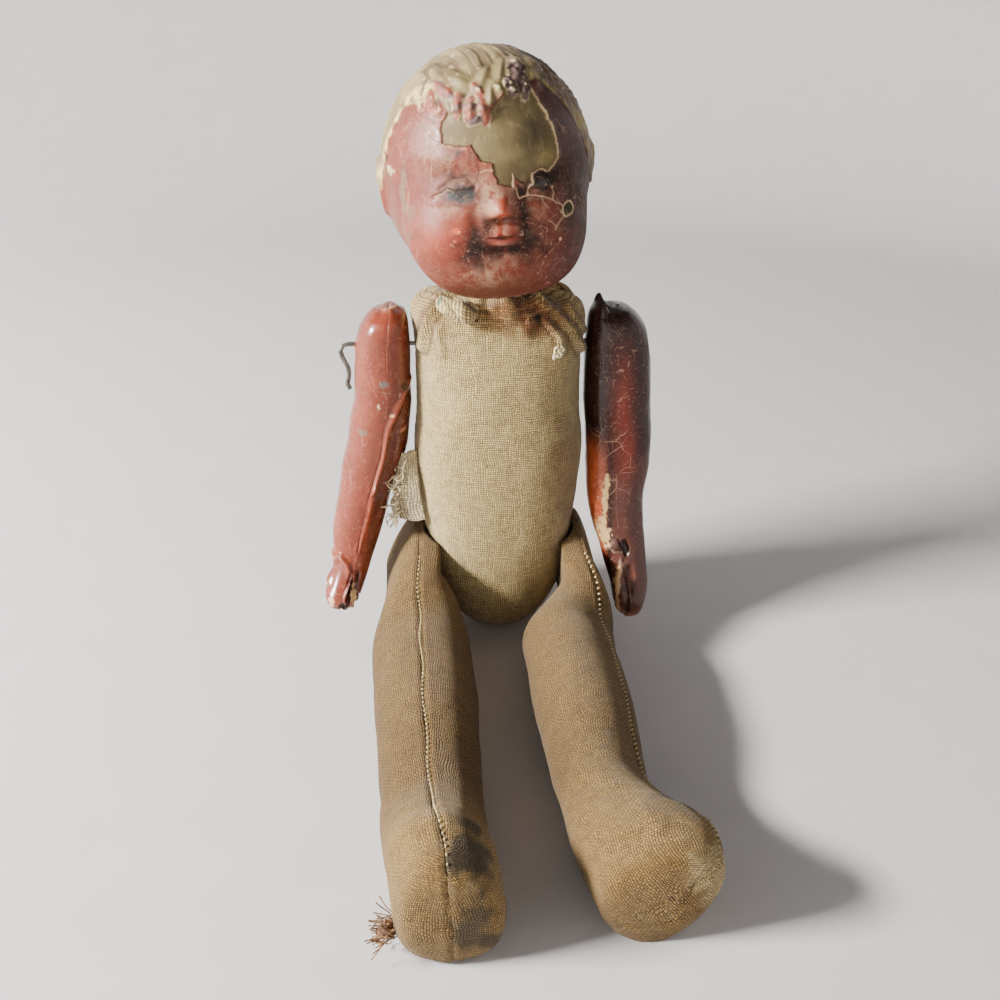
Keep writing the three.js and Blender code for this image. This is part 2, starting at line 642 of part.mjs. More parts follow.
// Legs: long stuffed tubes from a flattened hip to a stubby foot, each sewn up the front and back.
const legPower = 2.15;
const panelSteps = 16;
function makeLeg(name, side, leg) {
  const { legLength, hipWidth, thighWidth, ankleWidth, thighPlace, anklePlace, solePlace, footRoll } = leg;
  const inside = hipSpan / 2 + swingGap;
  const hipEnd = hipWidth - hipBulge;
  const middle = inside + hipBulge;
  const onward = (distance) => (hipRadius + distance) / (hipRadius + legLength);
  const shoulder = onward(hipFront);
  const thigh = onward(thighStart);
  const knee = onward(kneeStart);
  const ankle = onward(legLength - instepLength);
  const toe = onward(legLength - toeLength);
  const places = smooth([[0, middle], [shoulder, middle], [thigh, thighPlace], [ankle, anklePlace],
    [1, solePlace]]);
  const halfWidths = smooth([[0, hipEnd], [shoulder, hipEnd], [thigh, thighWidth / 2],
    [knee, thighWidth / 2], [ankle, ankleWidth / 2], [1, ankleWidth / 2]]);
  const halfHeights = smooth([[0, hipRadius], [onward(0), hipRadius], [thigh, thighHeight / 2],
    [knee, thighHeight / 2], [ankle, ankleHeight / 2], [1, ankleHeight / 2]]);
  const rolls = smooth([[0, 0], [shoulder, 0], [thigh, footRoll * thighRoll], [1, footRoll]]);
  const rises = smooth([[0, 0], [ankle, 0], [toe, footRise], [1, footRise * 0.86]]);
  const axisHeight = (share) => {
    const blend = THREE.MathUtils.smoothstep(share, onward(0), thigh);
    return THREE.MathUtils.lerp(hipHeight, halfHeights(share) - floorCut, blend);
  };

  // Beside the torso the leg keeps to its own side of a flat face, and past the torso it widens inwards.
  const innerFace = (share) => {
    const past = share * (hipRadius + legLength) - 2 * hipRadius - innerStart;
    return inside - innerSlope * Math.max(0, past);
  };

  // One ring of the leg, a share of the way from hip to sole, drawn in by an inset.
  const ring = (share, inset, shrink, corners) => {
    const y = hipMiddle.y + hipRadius - inset - share * (hipRadius + legLength - 2 * inset);
    const roll = side * degrees(rolls(share));
    const centre = new THREE.Vector3(side * places(share), y, axisHeight(share));
    const rise = rises(share);
    const halfWidth = (halfWidths(share) - inset) * shrink;
    const halfHeight = (halfHeights(share) - inset) * shrink;
    const spot = (across, up) => {
      const high = up > 0 ? up * (halfHeight + rise * shrink) : up * halfHeight;
      const x = across * halfWidth * Math.cos(roll) + high * Math.sin(roll);
      const z = high * Math.cos(roll) - across * halfWidth * Math.sin(roll);
      const outward = Math.max(side * (centre.x + x), innerFace(share) + inset);
      return new THREE.Vector3(side * outward, y, centre.z + z);
    };
    if (corners) return corners.map(([across, high]) => {
      const x = across * Math.cos(roll) + high * Math.sin(roll);
      const z = high * Math.cos(roll) - across * Math.sin(roll);
      return new THREE.Vector3(centre.x + x, y, centre.z + z);
    });
    return roundedRing(inset ? 8 : 13, legPower, spot);
  };

  const hipShares = [[0, 0.2], [onward(-14), 0.5], [onward(-10), 0.79], [onward(-5), 0.95], [onward(0), 1]];
  const thighSteps = [8, 18, 26, 34, thighStart, kneeStart - 2, kneeStart + 20];
  const footSteps = [instepLength + 2, 22, toeLength + 1, 5].map((distance) => legLength - distance);
  const legShares = [...thighSteps, ...footSteps];
  const soleShares = [[onward(legLength - 2), 0.93], [onward(legLength - 0.5), 0.8], [1, 0.62]];
  const body = (inset) => {
    const rings = hipShares.map(([share, shrink]) => ring(share, inset, shrink));
    legShares.forEach((distance) => rings.push(ring(onward(distance), inset, 1)));
    soleShares.forEach(([share, shrink]) => rings.push(ring(share, inset, shrink)));
    const padRadius = hipDiscRadius + clothThickness + 2 * seatGap - inset;
    const padEnd = inside + hipWidth - 1 - inset;
    const pad = bar("x", side * (inside + inset), side * padEnd, padRadius, hipMiddle);
    const filled = inset > clothThickness;
    return (filled ? loft(rings) : loft(rings).add(pad)).intersect(everythingAbove(inset));
  };

  const shell = body(0).subtract(body(clothThickness)).subtract(pinPassage);
  // Everything outside the seam, which turns with the leg, moved out by a gap.
  const beyondSeam = (gap) => {
    const reach = thighWidth + thighHeight;
    const start = side * gap;
    const corners = [[start, -reach], [side * reach, -reach], [side * reach, reach], [start, reach]];
    corners.push([start, thighHeight / 2], [start, 0], [start, -thighHeight / 2]);
    const shares = Array.from({ length: panelSteps + 3 }, (_, i) => (i - 1) / panelSteps);
    return loft(shares.map((share) => ring(share, 0, 1, corners)));
  };
  piece(name + "_leg_outer_panel", shell.intersect(beyondSeam(seatGap / 2)), "stocking");
  piece(name + "_leg_inner_panel", shell.subtract(beyondSeam(-seatGap / 2)), "stocking");

  const room = bar("x", 0, side * (inside + hipWidth), hipDiscRadius + seatGap, hipMiddle);
  piece(name + "_leg_stuffing", body(clothThickness + seatGap).subtract(room), "stuffing");

  // The seam thread follows the top of the leg, a little clear of the cloth.
  const seam = legShares.slice(2).map((distance) => {
    const share = onward(distance);
    const roll = side * degrees(rolls(share));
    const high = halfHeights(share) + rises(share) + seatGap + threadRadius + seamLift;
    const y = hipMiddle.y + hipRadius - share * (hipRadius + legLength);
    const x = side * places(share) + high * Math.sin(roll);
    return new THREE.Vector3(x, y, axisHeight(share) + high * Math.cos(roll));
  });
  piece(name + "_leg_seam_thread", sweep(seam, threadRadius, 24, 6), "thread");
  return { places, axisHeight, halfWidths, onward };
}
const rightLeg = makeLeg("right", -1, {
  legLength: rightLegLength,
  hipWidth: rightHipWidth,
  thighWidth: rightThighWidth,
  ankleWidth: rightAnkleWidth,
  thighPlace: rightThighPlace,
  anklePlace: rightAnklePlace,
  solePlace: rightSolePlace,
  footRoll: -rightFootRoll,
});
makeLeg("left", 1, {
  legLength: leftLegLength,
  hipWidth: leftHipWidth,
  thighWidth: leftThighWidth,
  ankleWidth: leftAnkleWidth,
  thighPlace: leftThighPlace,
  anklePlace: leftAnklePlace,
  solePlace: leftSolePlace,
  footRoll: leftFootRoll,
});

// Frayed tuft at the right heel
const heel = rightLeg.onward(rightLegLength - tuftBack);
const tuftRoot = new THREE.Vector3(-rightLeg.places(heel) - rightLeg.halfWidths(heel) + 0.8,
  hipMiddle.y - rightLegLength + tuftBack, tuftHeight);
const tuftRings = [0, 0.4, 0.75, 1].map((share) => {
  const half = (tuftWidth / 2) * (1 - 0.75 * share) + 0.2;
  const place = tuftRoot.clone().add(new THREE.Vector3(-share * tuftLength * 0.6, -share * 1.5, share * 1.5));
  return [[0, -half], [0, half], [-1, half], [-1, -half]].map(([x, z]) => {
    return place.clone().add(new THREE.Vector3(x - 0.6, 0.4 * z, z * 0.8));
  });
});
piece("heel_tuft", loft(tuftRings), "stocking");

// Head: a hollow egg with a modelled face, pressed in a front and a back half.
const headTilt = new THREE.Euler(0, degrees(-headRoll), degrees(headTurn), "ZYX");
const headMiddle = new THREE.Vector3(-headShift, neckMiddle.y, torsoHeight + chinGap + headBelowEyes);
const bump = (x, z, x0, z0, wide, high) => Math.exp(-(((x - x0) / wide) ** 2) - ((z - z0) / high) ** 2);
function facing(x, y, z) {
  const front = y < 0 ? 1 : 0;
  const aside = x + faceShift;
  const pair = (span, z0, wide, high) => {
    return bump(aside, z, -span / 2, z0, wide, high) + bump(aside, z, span / 2, z0, wide, high);
  };
  const bridge = 1.4 * bump(aside, z, 0, eyeHeight - lidDrop, 3, 5);
  const nose = noseRise * bump(aside, z, 0, -noseDrop, 3.3, 3.2) + bridge;
  const sockets = -socketSink * pair(eyeSpan, eyeHeight, 5.6, 3.8);
  const lids = lidRise * pair(eyeSpan, eyeHeight - lidDrop, 4, 2.6);
  const cheeks = cheekRise * pair(cheekSpan, -cheekDrop, 9, 8);
  const lips = lipRise * bump(aside, z, 0, -mouthDrop, 4.6, 2.6);
  const chin = chinRise * bump(aside, z, 0, -chinDrop, 7.5, 5);
  const fringe = hairRise * bump(aside, z, 0, fringeHeight, 17, 9);
  return front * Math.min(1, -y / 10) * (nose + sockets + lids + cheeks + lips + chin + fringe);
}
// Hair: low wavy locks above the hairline, and a row of curls over the forehead.
function hairOver(x, y, z) {
  const forward = THREE.MathUtils.smoothstep(-y, -hairTurnsDownAt, -hairIsHighAt);
  const hairline = THREE.MathUtils.lerp(napeHairHeight, browHairHeight, forward);
  const cover = THREE.MathUtils.smoothstep(z - hairline, 0, hairEdgeWidth);
  const acrossLocks = lockLean[0] * x + lockLean[1] * y + lockLean[2] * z;
  const locks = lockRise * Math.cos((2 * Math.PI * acrossLocks) / lockSpacing);
  const curls = curlPlaces.map(([x0, z0]) => bump(x, z, x0, z0, curlRadius, curlRadius));
  return locks * cover + (y < 0 ? curlRise * Math.max(...curls) : 0);
}
function headRadius(direction, detail) {
  const { x, y, z } = direction;
  const below = THREE.MathUtils.smoothstep(-z, 0, 0.5);
  const jaw = THREE.MathUtils.smoothstep(-y, 0.4, 0.62) * below;
  const tall = z > 0 ? headAboveEyes : headBelowEyes + jaw * jawDrop;
  const power = 2 + below * (cheekSquareness + jawSquareness * jaw);
  const sums = Math.abs(x / (headWidth / 2)) ** power + Math.abs(y / (headDepth / 2)) ** power
    + Math.abs(z / tall) ** power;
  const egg = sums ** (-1 / power);
  if (!detail) return egg - headWall;
  const ear = earRise * bump(y * egg, z * egg, earBack, -earDrop, 3.4, 7) * (Math.abs(x) > 0.8 ? 1 : 0);
  return egg + ear + facing(x * egg, y * egg, z * egg) + hairOver(x * egg, y * egg, z * egg);
}
// Rings lie closer together over the crown, where the hair's relief is.
const crownCrowding = 1.25;
function headSolid(around, down, detail) {
  const rings = Array.from({ length: down - 1 }, (_, j) => {
    const polar = Math.PI * ((j + 1) / down) ** (detail ? crownCrowding : 1);
    return Array.from({ length: around }, (_, i) => {
      const angle = (2 * Math.PI * i) / around;
      const direction = new THREE.Vector3(
        Math.sin(polar) * Math.cos(angle), Math.sin(polar) * Math.sin(angle), Math.cos(polar));
      const point = direction.clone().multiplyScalar(headRadius(direction, detail));
      return point.applyEuler(headTilt).add(headMiddle);
    });
  });
  return loft(rings);
}
const neckTop = torsoHeight + neckReach;
const neckProfile = [[0, flangeFloor], [flangeRadius, flangeFloor], [flangeRadius, flangeRoof],
  [neckRadius, flangeRoof], [neckRadius, neckTop], [0, neckTop]];
const neckHollow = bar("z", -far, headMiddle.z, neckRadius - neckWall, neckMiddle, 24);
const headShell = headSolid(52, 28, true).add(turned(neckProfile, neckMiddle))
  .subtract(headSolid(20, 12, false)).subtract(neckHollow);
function headSeamCut(front) {
  const depth = front ? -far : far;
  const seam = headSeamBack + (front ? -seatGap / 2 : seatGap / 2);
  const low = new THREE.Vector3(-far, Math.min(seam, seam + depth), -far);
  const high = new THREE.Vector3(far, Math.max(seam, seam + depth), far);
  const geometry = new THREE.BoxGeometry(2 * far, far, 2 * far);
  geometry.translate(0, (low.y + high.y) / 2, 0);
  geometry.applyMatrix4(new THREE.Matrix4().makeRotationFromEuler(headTilt));
  geometry.translate(headMiddle.x, headMiddle.y, headMiddle.z);
  return solidFrom(geometry);
}
piece("head_front", headShell.intersect(headSeamCut(true)), "skin");
piece("head_back", headShell.intersect(headSeamCut(false)), "hair");

export default doll;
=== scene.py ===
import bpy
import numpy as np
from mathutils import Matrix


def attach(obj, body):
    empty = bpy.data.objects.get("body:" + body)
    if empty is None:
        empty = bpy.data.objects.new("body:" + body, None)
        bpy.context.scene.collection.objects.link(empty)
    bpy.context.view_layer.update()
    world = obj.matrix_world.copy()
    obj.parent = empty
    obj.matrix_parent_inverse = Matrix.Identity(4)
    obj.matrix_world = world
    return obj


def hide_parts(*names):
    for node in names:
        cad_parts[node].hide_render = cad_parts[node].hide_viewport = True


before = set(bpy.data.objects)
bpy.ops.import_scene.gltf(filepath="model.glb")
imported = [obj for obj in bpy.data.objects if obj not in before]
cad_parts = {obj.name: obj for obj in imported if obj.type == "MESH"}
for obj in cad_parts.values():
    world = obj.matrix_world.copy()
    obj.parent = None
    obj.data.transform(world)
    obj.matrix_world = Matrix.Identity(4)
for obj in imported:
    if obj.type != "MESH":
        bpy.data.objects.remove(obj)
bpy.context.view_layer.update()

# The view: a camera above and in front of the doll, soft daylight from the upper left, and a
# pale floor that curves up far behind it on every side. All lengths are millimetres until a
# mesh is made.
MM = 0.001
view_turn = np.radians(-4.5)
view_drop = np.radians(27)
view_roll = np.radians(0.6)
view_back, view_height, view_aside = 337, 212, 0.7
view_lens = 44

level_right = np.array([np.cos(view_turn), np.sin(view_turn), 0])
eye = np.array([np.sin(view_turn) * view_back, -np.cos(view_turn) * view_back, view_height])
eye = eye + view_aside * level_right
ahead = np.array([-np.sin(view_turn) * np.cos(view_drop), np.cos(view_turn) * np.cos(view_drop),
                  -np.sin(view_drop)])
level_up = np.cross(level_right, ahead)
view_right = level_right * np.cos(view_roll) + level_up * np.sin(view_roll)
view_up = level_up * np.cos(view_roll) - level_right * np.sin(view_roll)

camera = bpy.data.objects.new("view_camera", bpy.data.cameras.new("view_camera"))
camera.data.lens = view_lens
camera.data.clip_start = 0.01
camera.matrix_world = (Matrix.Translation([float(v) * MM for v in eye])
                       @ Matrix([[float(v) for v in row] for row in
                                 np.array([view_right, view_up, -ahead]).T]).to_4x4())
bpy.context.scene.collection.objects.link(camera)
bpy.context.scene.camera = camera


def add_light(name, place, aim, size, watts, tint):
    """A square soft light at a place, turned to shine at a point; places in millimetres."""
    light = bpy.data.lights.new(name, "AREA")
    light.size = size * MM
    light.energy = watts
    light.color = tint
    lamp = bpy.data.objects.new(name, light)
    away = np.array(place, float) - np.array(aim, float)
    away /= np.linalg.norm(away)
    side = np.cross((0, 0, 1), away)
    side /= np.linalg.norm(side)
    turn = np.array([side, np.cross(away, side), away]).T
    lamp.matrix_world = (Matrix.Translation([float(v) * MM for v in place])
                         @ Matrix([[float(v) for v in row] for row in turn]).to_4x4())
    bpy.context.scene.collection.objects.link(lamp)


add_light("window_light", (-920, -225, 440), (0, -20, 80), 300, 122, (1, 0.985, 0.95))
add_light("room_light", (700, -600, 600), (0, -20, 60), 900, 0.12, (0.93, 0.96, 1))

world = bpy.data.worlds.new("room")
world.use_nodes = True
world.node_tree.nodes["Background"].inputs[0].default_value = (0.80, 0.86, 0.95, 1)
world.node_tree.nodes["Background"].inputs[1].default_value = 0.12
bpy.context.scene.world = world


def as_light(red, green, blue):
    """A colour as linear light, from the 0 to 255 numbers of a paint card."""
    share = np.array([red, green, blue]) / 255
    return np.where(share <= 0.04045, share / 12.92, ((share + 0.055) / 1.055) ** 2.4)


def build(name, points, quads, triangles=None, uv=None, paint=None, wear=None, outward=None):
    """A named mesh object from whole arrays, in millimetres. Faces turn outwards: a closed shape by the
    sign of its volume, and an open sheet away from the point that outward gives."""
    points = np.asarray(points, float).reshape(-1, 3)
    quads = np.asarray(quads).reshape(-1, 4)
    triangles = np.zeros((0, 3), int) if triangles is None else np.asarray(triangles).reshape(-1, 3)
    a, b, c, d = (points[quads[:, k]] for k in range(4))
    square = np.cross(c - a, d - b)
    middles = (a + b + c + d) / 4
    if outward is None:
        p, q, r = (points[triangles[:, k]] for k in range(3))
        sign = (square * middles).sum() + (np.cross(q - p, r - p) * (p + q + r) / 3).sum()
    else:
        sign = (square * (middles - outward)).sum()
    if sign < 0:
        quads, triangles = quads[:, ::-1], triangles[:, ::-1]
    corners = np.concatenate([quads.ravel(), triangles.ravel()]).astype(np.int32)
    starts = np.concatenate([4 * np.arange(len(quads)),
                             4 * len(quads) + 3 * np.arange(len(triangles))]).astype(np.int32)
    mesh = bpy.data.meshes.new(name)
    mesh.vertices.add(len(points))
    mesh.vertices.foreach_set("co", (points * MM).astype(np.float32).ravel())
    mesh.loops.add(len(corners))
    mesh.loops.foreach_set("vertex_index", corners)
    mesh.polygons.add(len(starts))
    mesh.polygons.foreach_set("loop_start", starts)
    mesh.polygons.foreach_set("use_smooth", np.ones(len(starts), bool))
    if uv is not None:
        layer = mesh.uv_layers.new(name="cloth")
        layer.data.foreach_set("uv", np.asarray(uv, np.float32).reshape(-1, 2)[corners].ravel())
    for label, values in (("paint", paint), ("wear", wear)):
        if values is not None:
            values = np.asarray(values, float).reshape(-1, 3)
            shade = np.concatenate([values, np.ones((len(values), 1))], 1).astype(np.float32)
            mesh.attributes.new(label, "FLOAT_COLOR", "POINT").data.foreach_set("color", shade.ravel())
    mesh.update(calc_edges=True)
    mesh.validate()
    piece = bpy.data.objects.new(name, mesh)
    bpy.context.scene.collection.objects.link(piece)
    return piece


def grid_quads(rows, columns, around=False):
    """Corner numbers of the squares of a grid, whose columns may go round and meet."""
    across = columns if around else columns - 1
    i, j = np.meshgrid(np.arange(rows - 1), np.arange(across), indexing="ij")
    k = (j + 1) % columns
    return np.stack([i * columns + j, i * columns + k, (i + 1) * columns + k, (i + 1) * columns + j],
                    -1).reshape(-1, 4)


class Reading:
    """A number that varies over a surface. Sums and products of readings add their own maths nodes."""

    def __init__(self, finish, socket):
        self.finish, self.socket = finish, socket

    def maths(self, operation, *others):
        return self.finish.add("Math", {"operation": operation}, dict(enumerate((self,) + others)))

    def __add__(self, other):
        return self.maths("ADD", other)

    __radd__ = __add__

    def __mul__(self, other):
        return self.maths("MULTIPLY", other)

    __rmul__ = __mul__

    def __sub__(self, other):
        return self.maths("SUBTRACT", other)

    def __rsub__(self, other):
        return self.finish.add("Math", {"operation": "SUBTRACT"}, {0: other, 1: self})

    def __pow__(self, other):
        return self.maths("POWER", other)

    def step(self, low, high, at_low=0, at_high=1):
        """Goes smoothly from one value to another as the reading goes from low to high."""
        return self.finish.add("MapRange", {"interpolation_type": "SMOOTHSTEP"},
                               {"Value": self, "From Min": low, "From Max": high, "To Min": at_low,
                                "To Max": at_high})


class Finish:
    """A material on the bench: add puts in a node, sets its settings and then its sockets, and hands
    back a reading of the output that is asked for."""

    def __init__(self, name):
        self.material = bpy.data.materials.new(name)
        self.material.use_nodes = True
        self.tree = self.material.node_tree
        self.tree.nodes.clear()

    def add(self, kind, settings=(), sockets=(), out=0):
        node = self.tree.nodes.new("ShaderNode" + kind)
        for name, value in dict(settings).items():
            setattr(node, name, value)
        for name, value in dict(sockets).items():
            if isinstance(value, Reading):
                self.tree.links.new(value.socket, node.inputs[name])
            else:
                node.inputs[name].default_value = value
        return Reading(self, node.outputs[out]) if len(node.outputs) else None

    def mix(self, share, first, second, how="MIX"):
        """Two colours mixed by a share."""
        as_colour = [c if isinstance(c, Reading) else (*map(float, c), 1) for c in (first, second)]
        return self.add("Mix", {"data_type": "RGBA", "blend_type": how},
                        {0: share, 6: as_colour[0], 7: as_colour[1]}, out=2)

    def noise(self, where, scale, detail=2, rough=0.5, stretch=None):
        """Cloudy noise of about 0 to 1 whose spots are 1 / scale across, in the units of where."""
        if stretch is not None:
            where = self.add("VectorMath", {"operation": "MULTIPLY"}, {0: where, 1: stretch})
        return self.add("TexNoise", {}, {"Vector": where, "Scale": scale, "Detail": detail,
                                         "Roughness": rough})

    def surface(self, colour, roughness, bump=None, depth=0.1, **constants):
        """Ends the material: colour and roughness vary, bump is a height from 0 to 1 that stands for
        depth millimetres, and constants are set on the shader's own sockets."""
        sockets = {"Base Color": colour if isinstance(colour, Reading) else (*map(float, colour), 1),
                   "Roughness": roughness}
        if bump is not None:
            sockets["Normal"] = self.add("Bump", {}, {"Strength": 1, "Distance": depth * MM,
                                                      "Height": bump})
        sockets.update({name.replace("_", " "): value for name, value in constants.items()})
        shader = self.add("BsdfPrincipled", {}, sockets)
        self.add("OutputMaterial", {}, {"Surface": shader})
        return self.material


# The floor is one round sheet of pale card, flat under the doll and curved up at its far rim.
floor_reach = np.concatenate([np.linspace(0, 480, 8), np.linspace(510, 1080, 19)])
floor_rise = 800 * (np.maximum(0, floor_reach - 480) / 600) ** 2
floor_turns = np.linspace(0, 2 * np.pi, 64, endpoint=False)
floor_points = np.stack([floor_reach[:, None] * np.cos(floor_turns),
                         floor_reach[:, None] * np.sin(floor_turns),
                         np.broadcast_to(floor_rise[:, None], (len(floor_reach), len(floor_turns)))], -1)
floor_points[0, :, :2] = 0.01 * floor_points[1, :, :2]
floor = build("floor", floor_points, grid_quads(*floor_points.shape[:2], around=True),
              outward=(0, 0, -9999))
card = Finish("pale_floor_card")
where = card.add("TexCoord", {}, {}, out="Object")
grain = card.noise(where, 60, 4)
floor.data.materials.append(card.surface(card.mix(grain, as_light(194, 191, 190), as_light(202, 199, 199)),
                                         grain.step(0, 1, 0.8, 0.9)))

# Torso bag: a front and a back of plain-weave cream muslin, sewn up the sides, stuffed tight and
# drawn in to a collar round the neck, where rust from the old fixings has stained it.
torso_height, torso_width, torso_depth = 109.5, 52.4, 36
torso_lean = np.tan(np.radians(3))
floor_cut = 0.5
side_seam_back = 3
cloth_thickness = 0.7
collar_radius = 10.7
neck_back = torso_lean * torso_height
torso_half_width = [(0, .22), (.02, .37), (.06, .53), (.11, .68), (.166, .785), (.293, .88), (.423, .965),
                    (.54, 1), (.66, .97), (.83, .97), (.9, .95), (.94, .89), (.96, .74), (.975, .57)]
torso_half_depth = [(0, .3), (.02, .58), (.06, .78), (.12, .89), (.19, .95), (.26, .98), (.375, 1),
                    (.53, 1), (.68, .97), (.83, .9), (.9, .81), (.94, .74), (.975, .66)]


def curve(pairs, at):
    """Values of a smooth curve through pairs of place and value, with no overshoot: at each inner pair
    the slope is the harmonic mean of the two chords beside it."""
    x, y = np.array(pairs, float).T
    chord = np.diff(y) / np.diff(x)
    both = chord[:-1] * chord[1:]
    inner = np.where(both > 0, 2 * both / np.where(both > 0, chord[:-1] + chord[1:], 1), 0)
    slope = np.concatenate([chord[:1], inner, [0]])
    at = np.clip(at, x[0], x[-1])
    i = np.clip(np.searchsorted(x, at, "right") - 1, 0, len(x) - 2)
    width, rise = x[i + 1] - x[i], y[i + 1] - y[i]
    t = (at - x[i]) / width
    bend = t * (1 - t) * ((1 - t) * (slope[i] * width - rise) - t * (slope[i + 1] * width - rise))
    return y[i] + t * rise + bend


def ramp(x, low, high):
    """Goes smoothly from 0 at low to 1 at high."""
    t = np.clip((x - low) / (high - low), 0, 1)
    return t * t * (3 - 2 * t)


def clouds(points, size, seed=0, layers=1):
    """Smooth random values from about -1 to 1 that change over a size: random numbers on a cubic
    lattice, faded between its eight corners, with finer and weaker lattices added as layers."""
    total = 0
    for layer in range(layers):
        p = np.asarray(points, float) / size * 2 ** layer + 997.3 + 17.1 * layer
        cell = np.floor(p).astype(np.int64)
        t = p - cell
        t = t * t * (3 - 2 * t)
        for corner in np.ndindex(2, 2, 2):
            k = cell + np.array(corner)
            mixed = (k[..., 0] * 73856093 ^ k[..., 1] * 19349663 ^ k[..., 2] * 83492791
                     ^ (seed + layer) * 2654435761) & 0xFFFFFFFF
            mixed = ((mixed ^ (mixed >> 13)) * 1274126177) & 0xFFFFFFFF
            value = (mixed ^ (mixed >> 16)) / 2 ** 31 - 1
            weight = np.prod(np.where(np.array(corner) == 1, t, 1 - t), -1)
            total = total + value * weight / 2 ** layer
    return total


def lay(paint, mask, colour):
    """One colour laid over another where a mask from 0 to 1 says."""
    return paint + (np.asarray(colour) - paint) * np.clip(mask, 0, 1)[..., None]


def to_path(places, path):
    """Distance of flat places to a line of points, and the side: above 0 where the path has them on
    its left."""
    best, side = np.full(places.shape[:-1], 1e9), np.zeros(places.shape[:-1])
    path = np.asarray(path, float)
    for a, b in zip(path[:-1], path[1:]):
        run = b - a
        t = np.clip(((places - a) @ run) / (run @ run), 0, 1)
        away = places - a - t[..., None] * run
        far = np.linalg.norm(away, axis=-1)
        turn = run[0] * (places[..., 1] - a[1]) - run[1] * (places[..., 0] - a[0])
        side = np.where(far < best, np.sign(turn), side)
        best = np.minimum(best, far)
    return best, side


def ridge(far, width):
    """A smooth ridge or line of a half width."""
    return np.exp(-(far / width) ** 2)


def normals_of(grid, away_from):
    """Unit normals of a grid of points, turned away from an inside point or line of points."""
    normal = np.cross(np.gradient(grid, axis=0), np.gradient(grid, axis=1))
    normal /= np.maximum(np.linalg.norm(normal, axis=-1, keepdims=True), 1e-9)
    inwards = (normal * (grid - away_from)).sum() < 0
    return -normal if inwards else normal


def even(grid, columns):
    """The same rows of points with their columns spaced evenly along each row."""
    step = np.linalg.norm(np.diff(grid, axis=1), axis=-1)
    far = np.concatenate([np.zeros((len(grid), 1)), np.cumsum(step, 1)], 1)
    share = np.linspace(0, 1, columns)
    return np.array([[np.interp(share * f[-1], f, row[:, k]) for k in range(3)]
                     for f, row in zip(far, grid)]).transpose(0, 2, 1)


def cloth_lengths(grid, centre_column):
    """Flat places of a panel's points in millimetres: along its rows from one column, and along that
    column from the first row."""
    across = np.linalg.norm(np.diff(grid, axis=1), axis=-1)
    across = np.concatenate([np.zeros((len(grid), 1)), np.cumsum(across, 1)], 1)
    across = across - across[:, centre_column:centre_column + 1]
    down = np.linalg.norm(np.diff(grid[:, centre_column], axis=0), axis=-1)
    down = np.broadcast_to(np.concatenate([[0], np.cumsum(down)])[:, None], across.shape)
    return np.stack([across, down], -1)


def torso_form(share, angle, inset=0):
    """The torso's surface: rounded-square rings whose half width and depth follow the curves above,
    blended into a round collar at the top; angle 270 degrees faces the front."""
    z = np.maximum(inset, -floor_cut + inset + share * (torso_height + floor_cut - 2 * inset))
    collar = ramp(share, 0.953, 0.978)
    shoulder = 12.9 * ramp(share, 0.86, 0.9)
    half_width = np.maximum(shoulder, curve(torso_half_width, share) * torso_width / 2) - inset
    half_depth = np.maximum(shoulder, curve(torso_half_depth, share) * torso_depth / 2) - inset
    half_width = half_width + (collar_radius - inset - half_width) * collar
    half_depth = half_depth + (collar_radius - inset - half_depth) * collar
    power = 2 / (2.3 - 0.3 * collar)
    middle = torso_lean * z + (neck_back - torso_lean * z) * collar
    cos, sin = np.cos(angle), np.sin(angle)
    across = np.sign(cos) * np.abs(cos) ** power
    back = np.sign(sin) * np.abs(sin) ** power
    return np.stack(np.broadcast_arrays(across * half_width, middle + back * half_depth, z), -1)


def swelling(form, rows, columns, slack, most, pressure=5.0):
    """How a sewn bag swells when it is stuffed, from a cloth simulation of a coarse copy ten times its
    size: its moves in millimetres on a grid of rows and columns, none longer than most. The first and
    last rows are tied. Without the simulation there are no moves."""
    share = np.linspace(0.02, 0.98, rows)[:, None]
    angle = np.linspace(0, 2 * np.pi, columns, endpoint=False)[None]
    rest = form(share, angle)
    ends = np.array([rest[0].mean(0), rest[-1].mean(0)])
    quads = grid_quads(rows, columns, around=True)
    j = np.arange(columns)
    last = (rows - 1) * columns
    fans = np.concatenate([np.stack([j, (j + 1) % columns, np.full(columns, rows * columns)], 1)[:, ::-1],
                           np.stack([last + j, last + (j + 1) % columns,
                                     np.full(columns, rows * columns + 1)], 1)])
    enlarged, last_frame = 10, 20
    bag = build("swelling_bag", np.concatenate([rest.reshape(-1, 3), ends]) * enlarged, quads, fans)
    tied = bag.vertex_groups.new(name="tied")
    tied.add([int(v) for v in np.concatenate([j, last + j, [rows * columns, rows * columns + 1]])], 1, "ADD")
    cloth = bag.modifiers.new("cloth", "CLOTH")
    cloth.settings.vertex_group_mass = "tied"
    cloth.settings.use_pressure = True
    cloth.settings.uniform_pressure_force = pressure
    cloth.settings.mass = 0.1
    cloth.settings.tension_stiffness = 25
    cloth.settings.compression_stiffness = 25
    cloth.settings.shrink_min = -slack
    cloth.settings.effector_weights.gravity = 0
    cloth.point_cache.frame_start, cloth.point_cache.frame_end = 1, last_frame
    for step in range(1, last_frame + 1):
        bpy.context.scene.frame_set(step)
    moved = bag.evaluated_get(bpy.context.evaluated_depsgraph_get()).to_mesh()
    swollen = np.empty(3 * len(moved.vertices), np.float32)
    moved.vertices.foreach_get("co", swollen)
    moves = swollen.reshape(-1, 3)[:rows * columns].reshape(rows, columns, 3) / MM / enlarged - rest
    bpy.data.objects.remove(bag)
    bpy.context.scene.frame_set(1)
    length = np.linalg.norm(moves, axis=-1, keepdims=True)
    return moves * np.minimum(1, most / np.maximum(length, 1e-6))


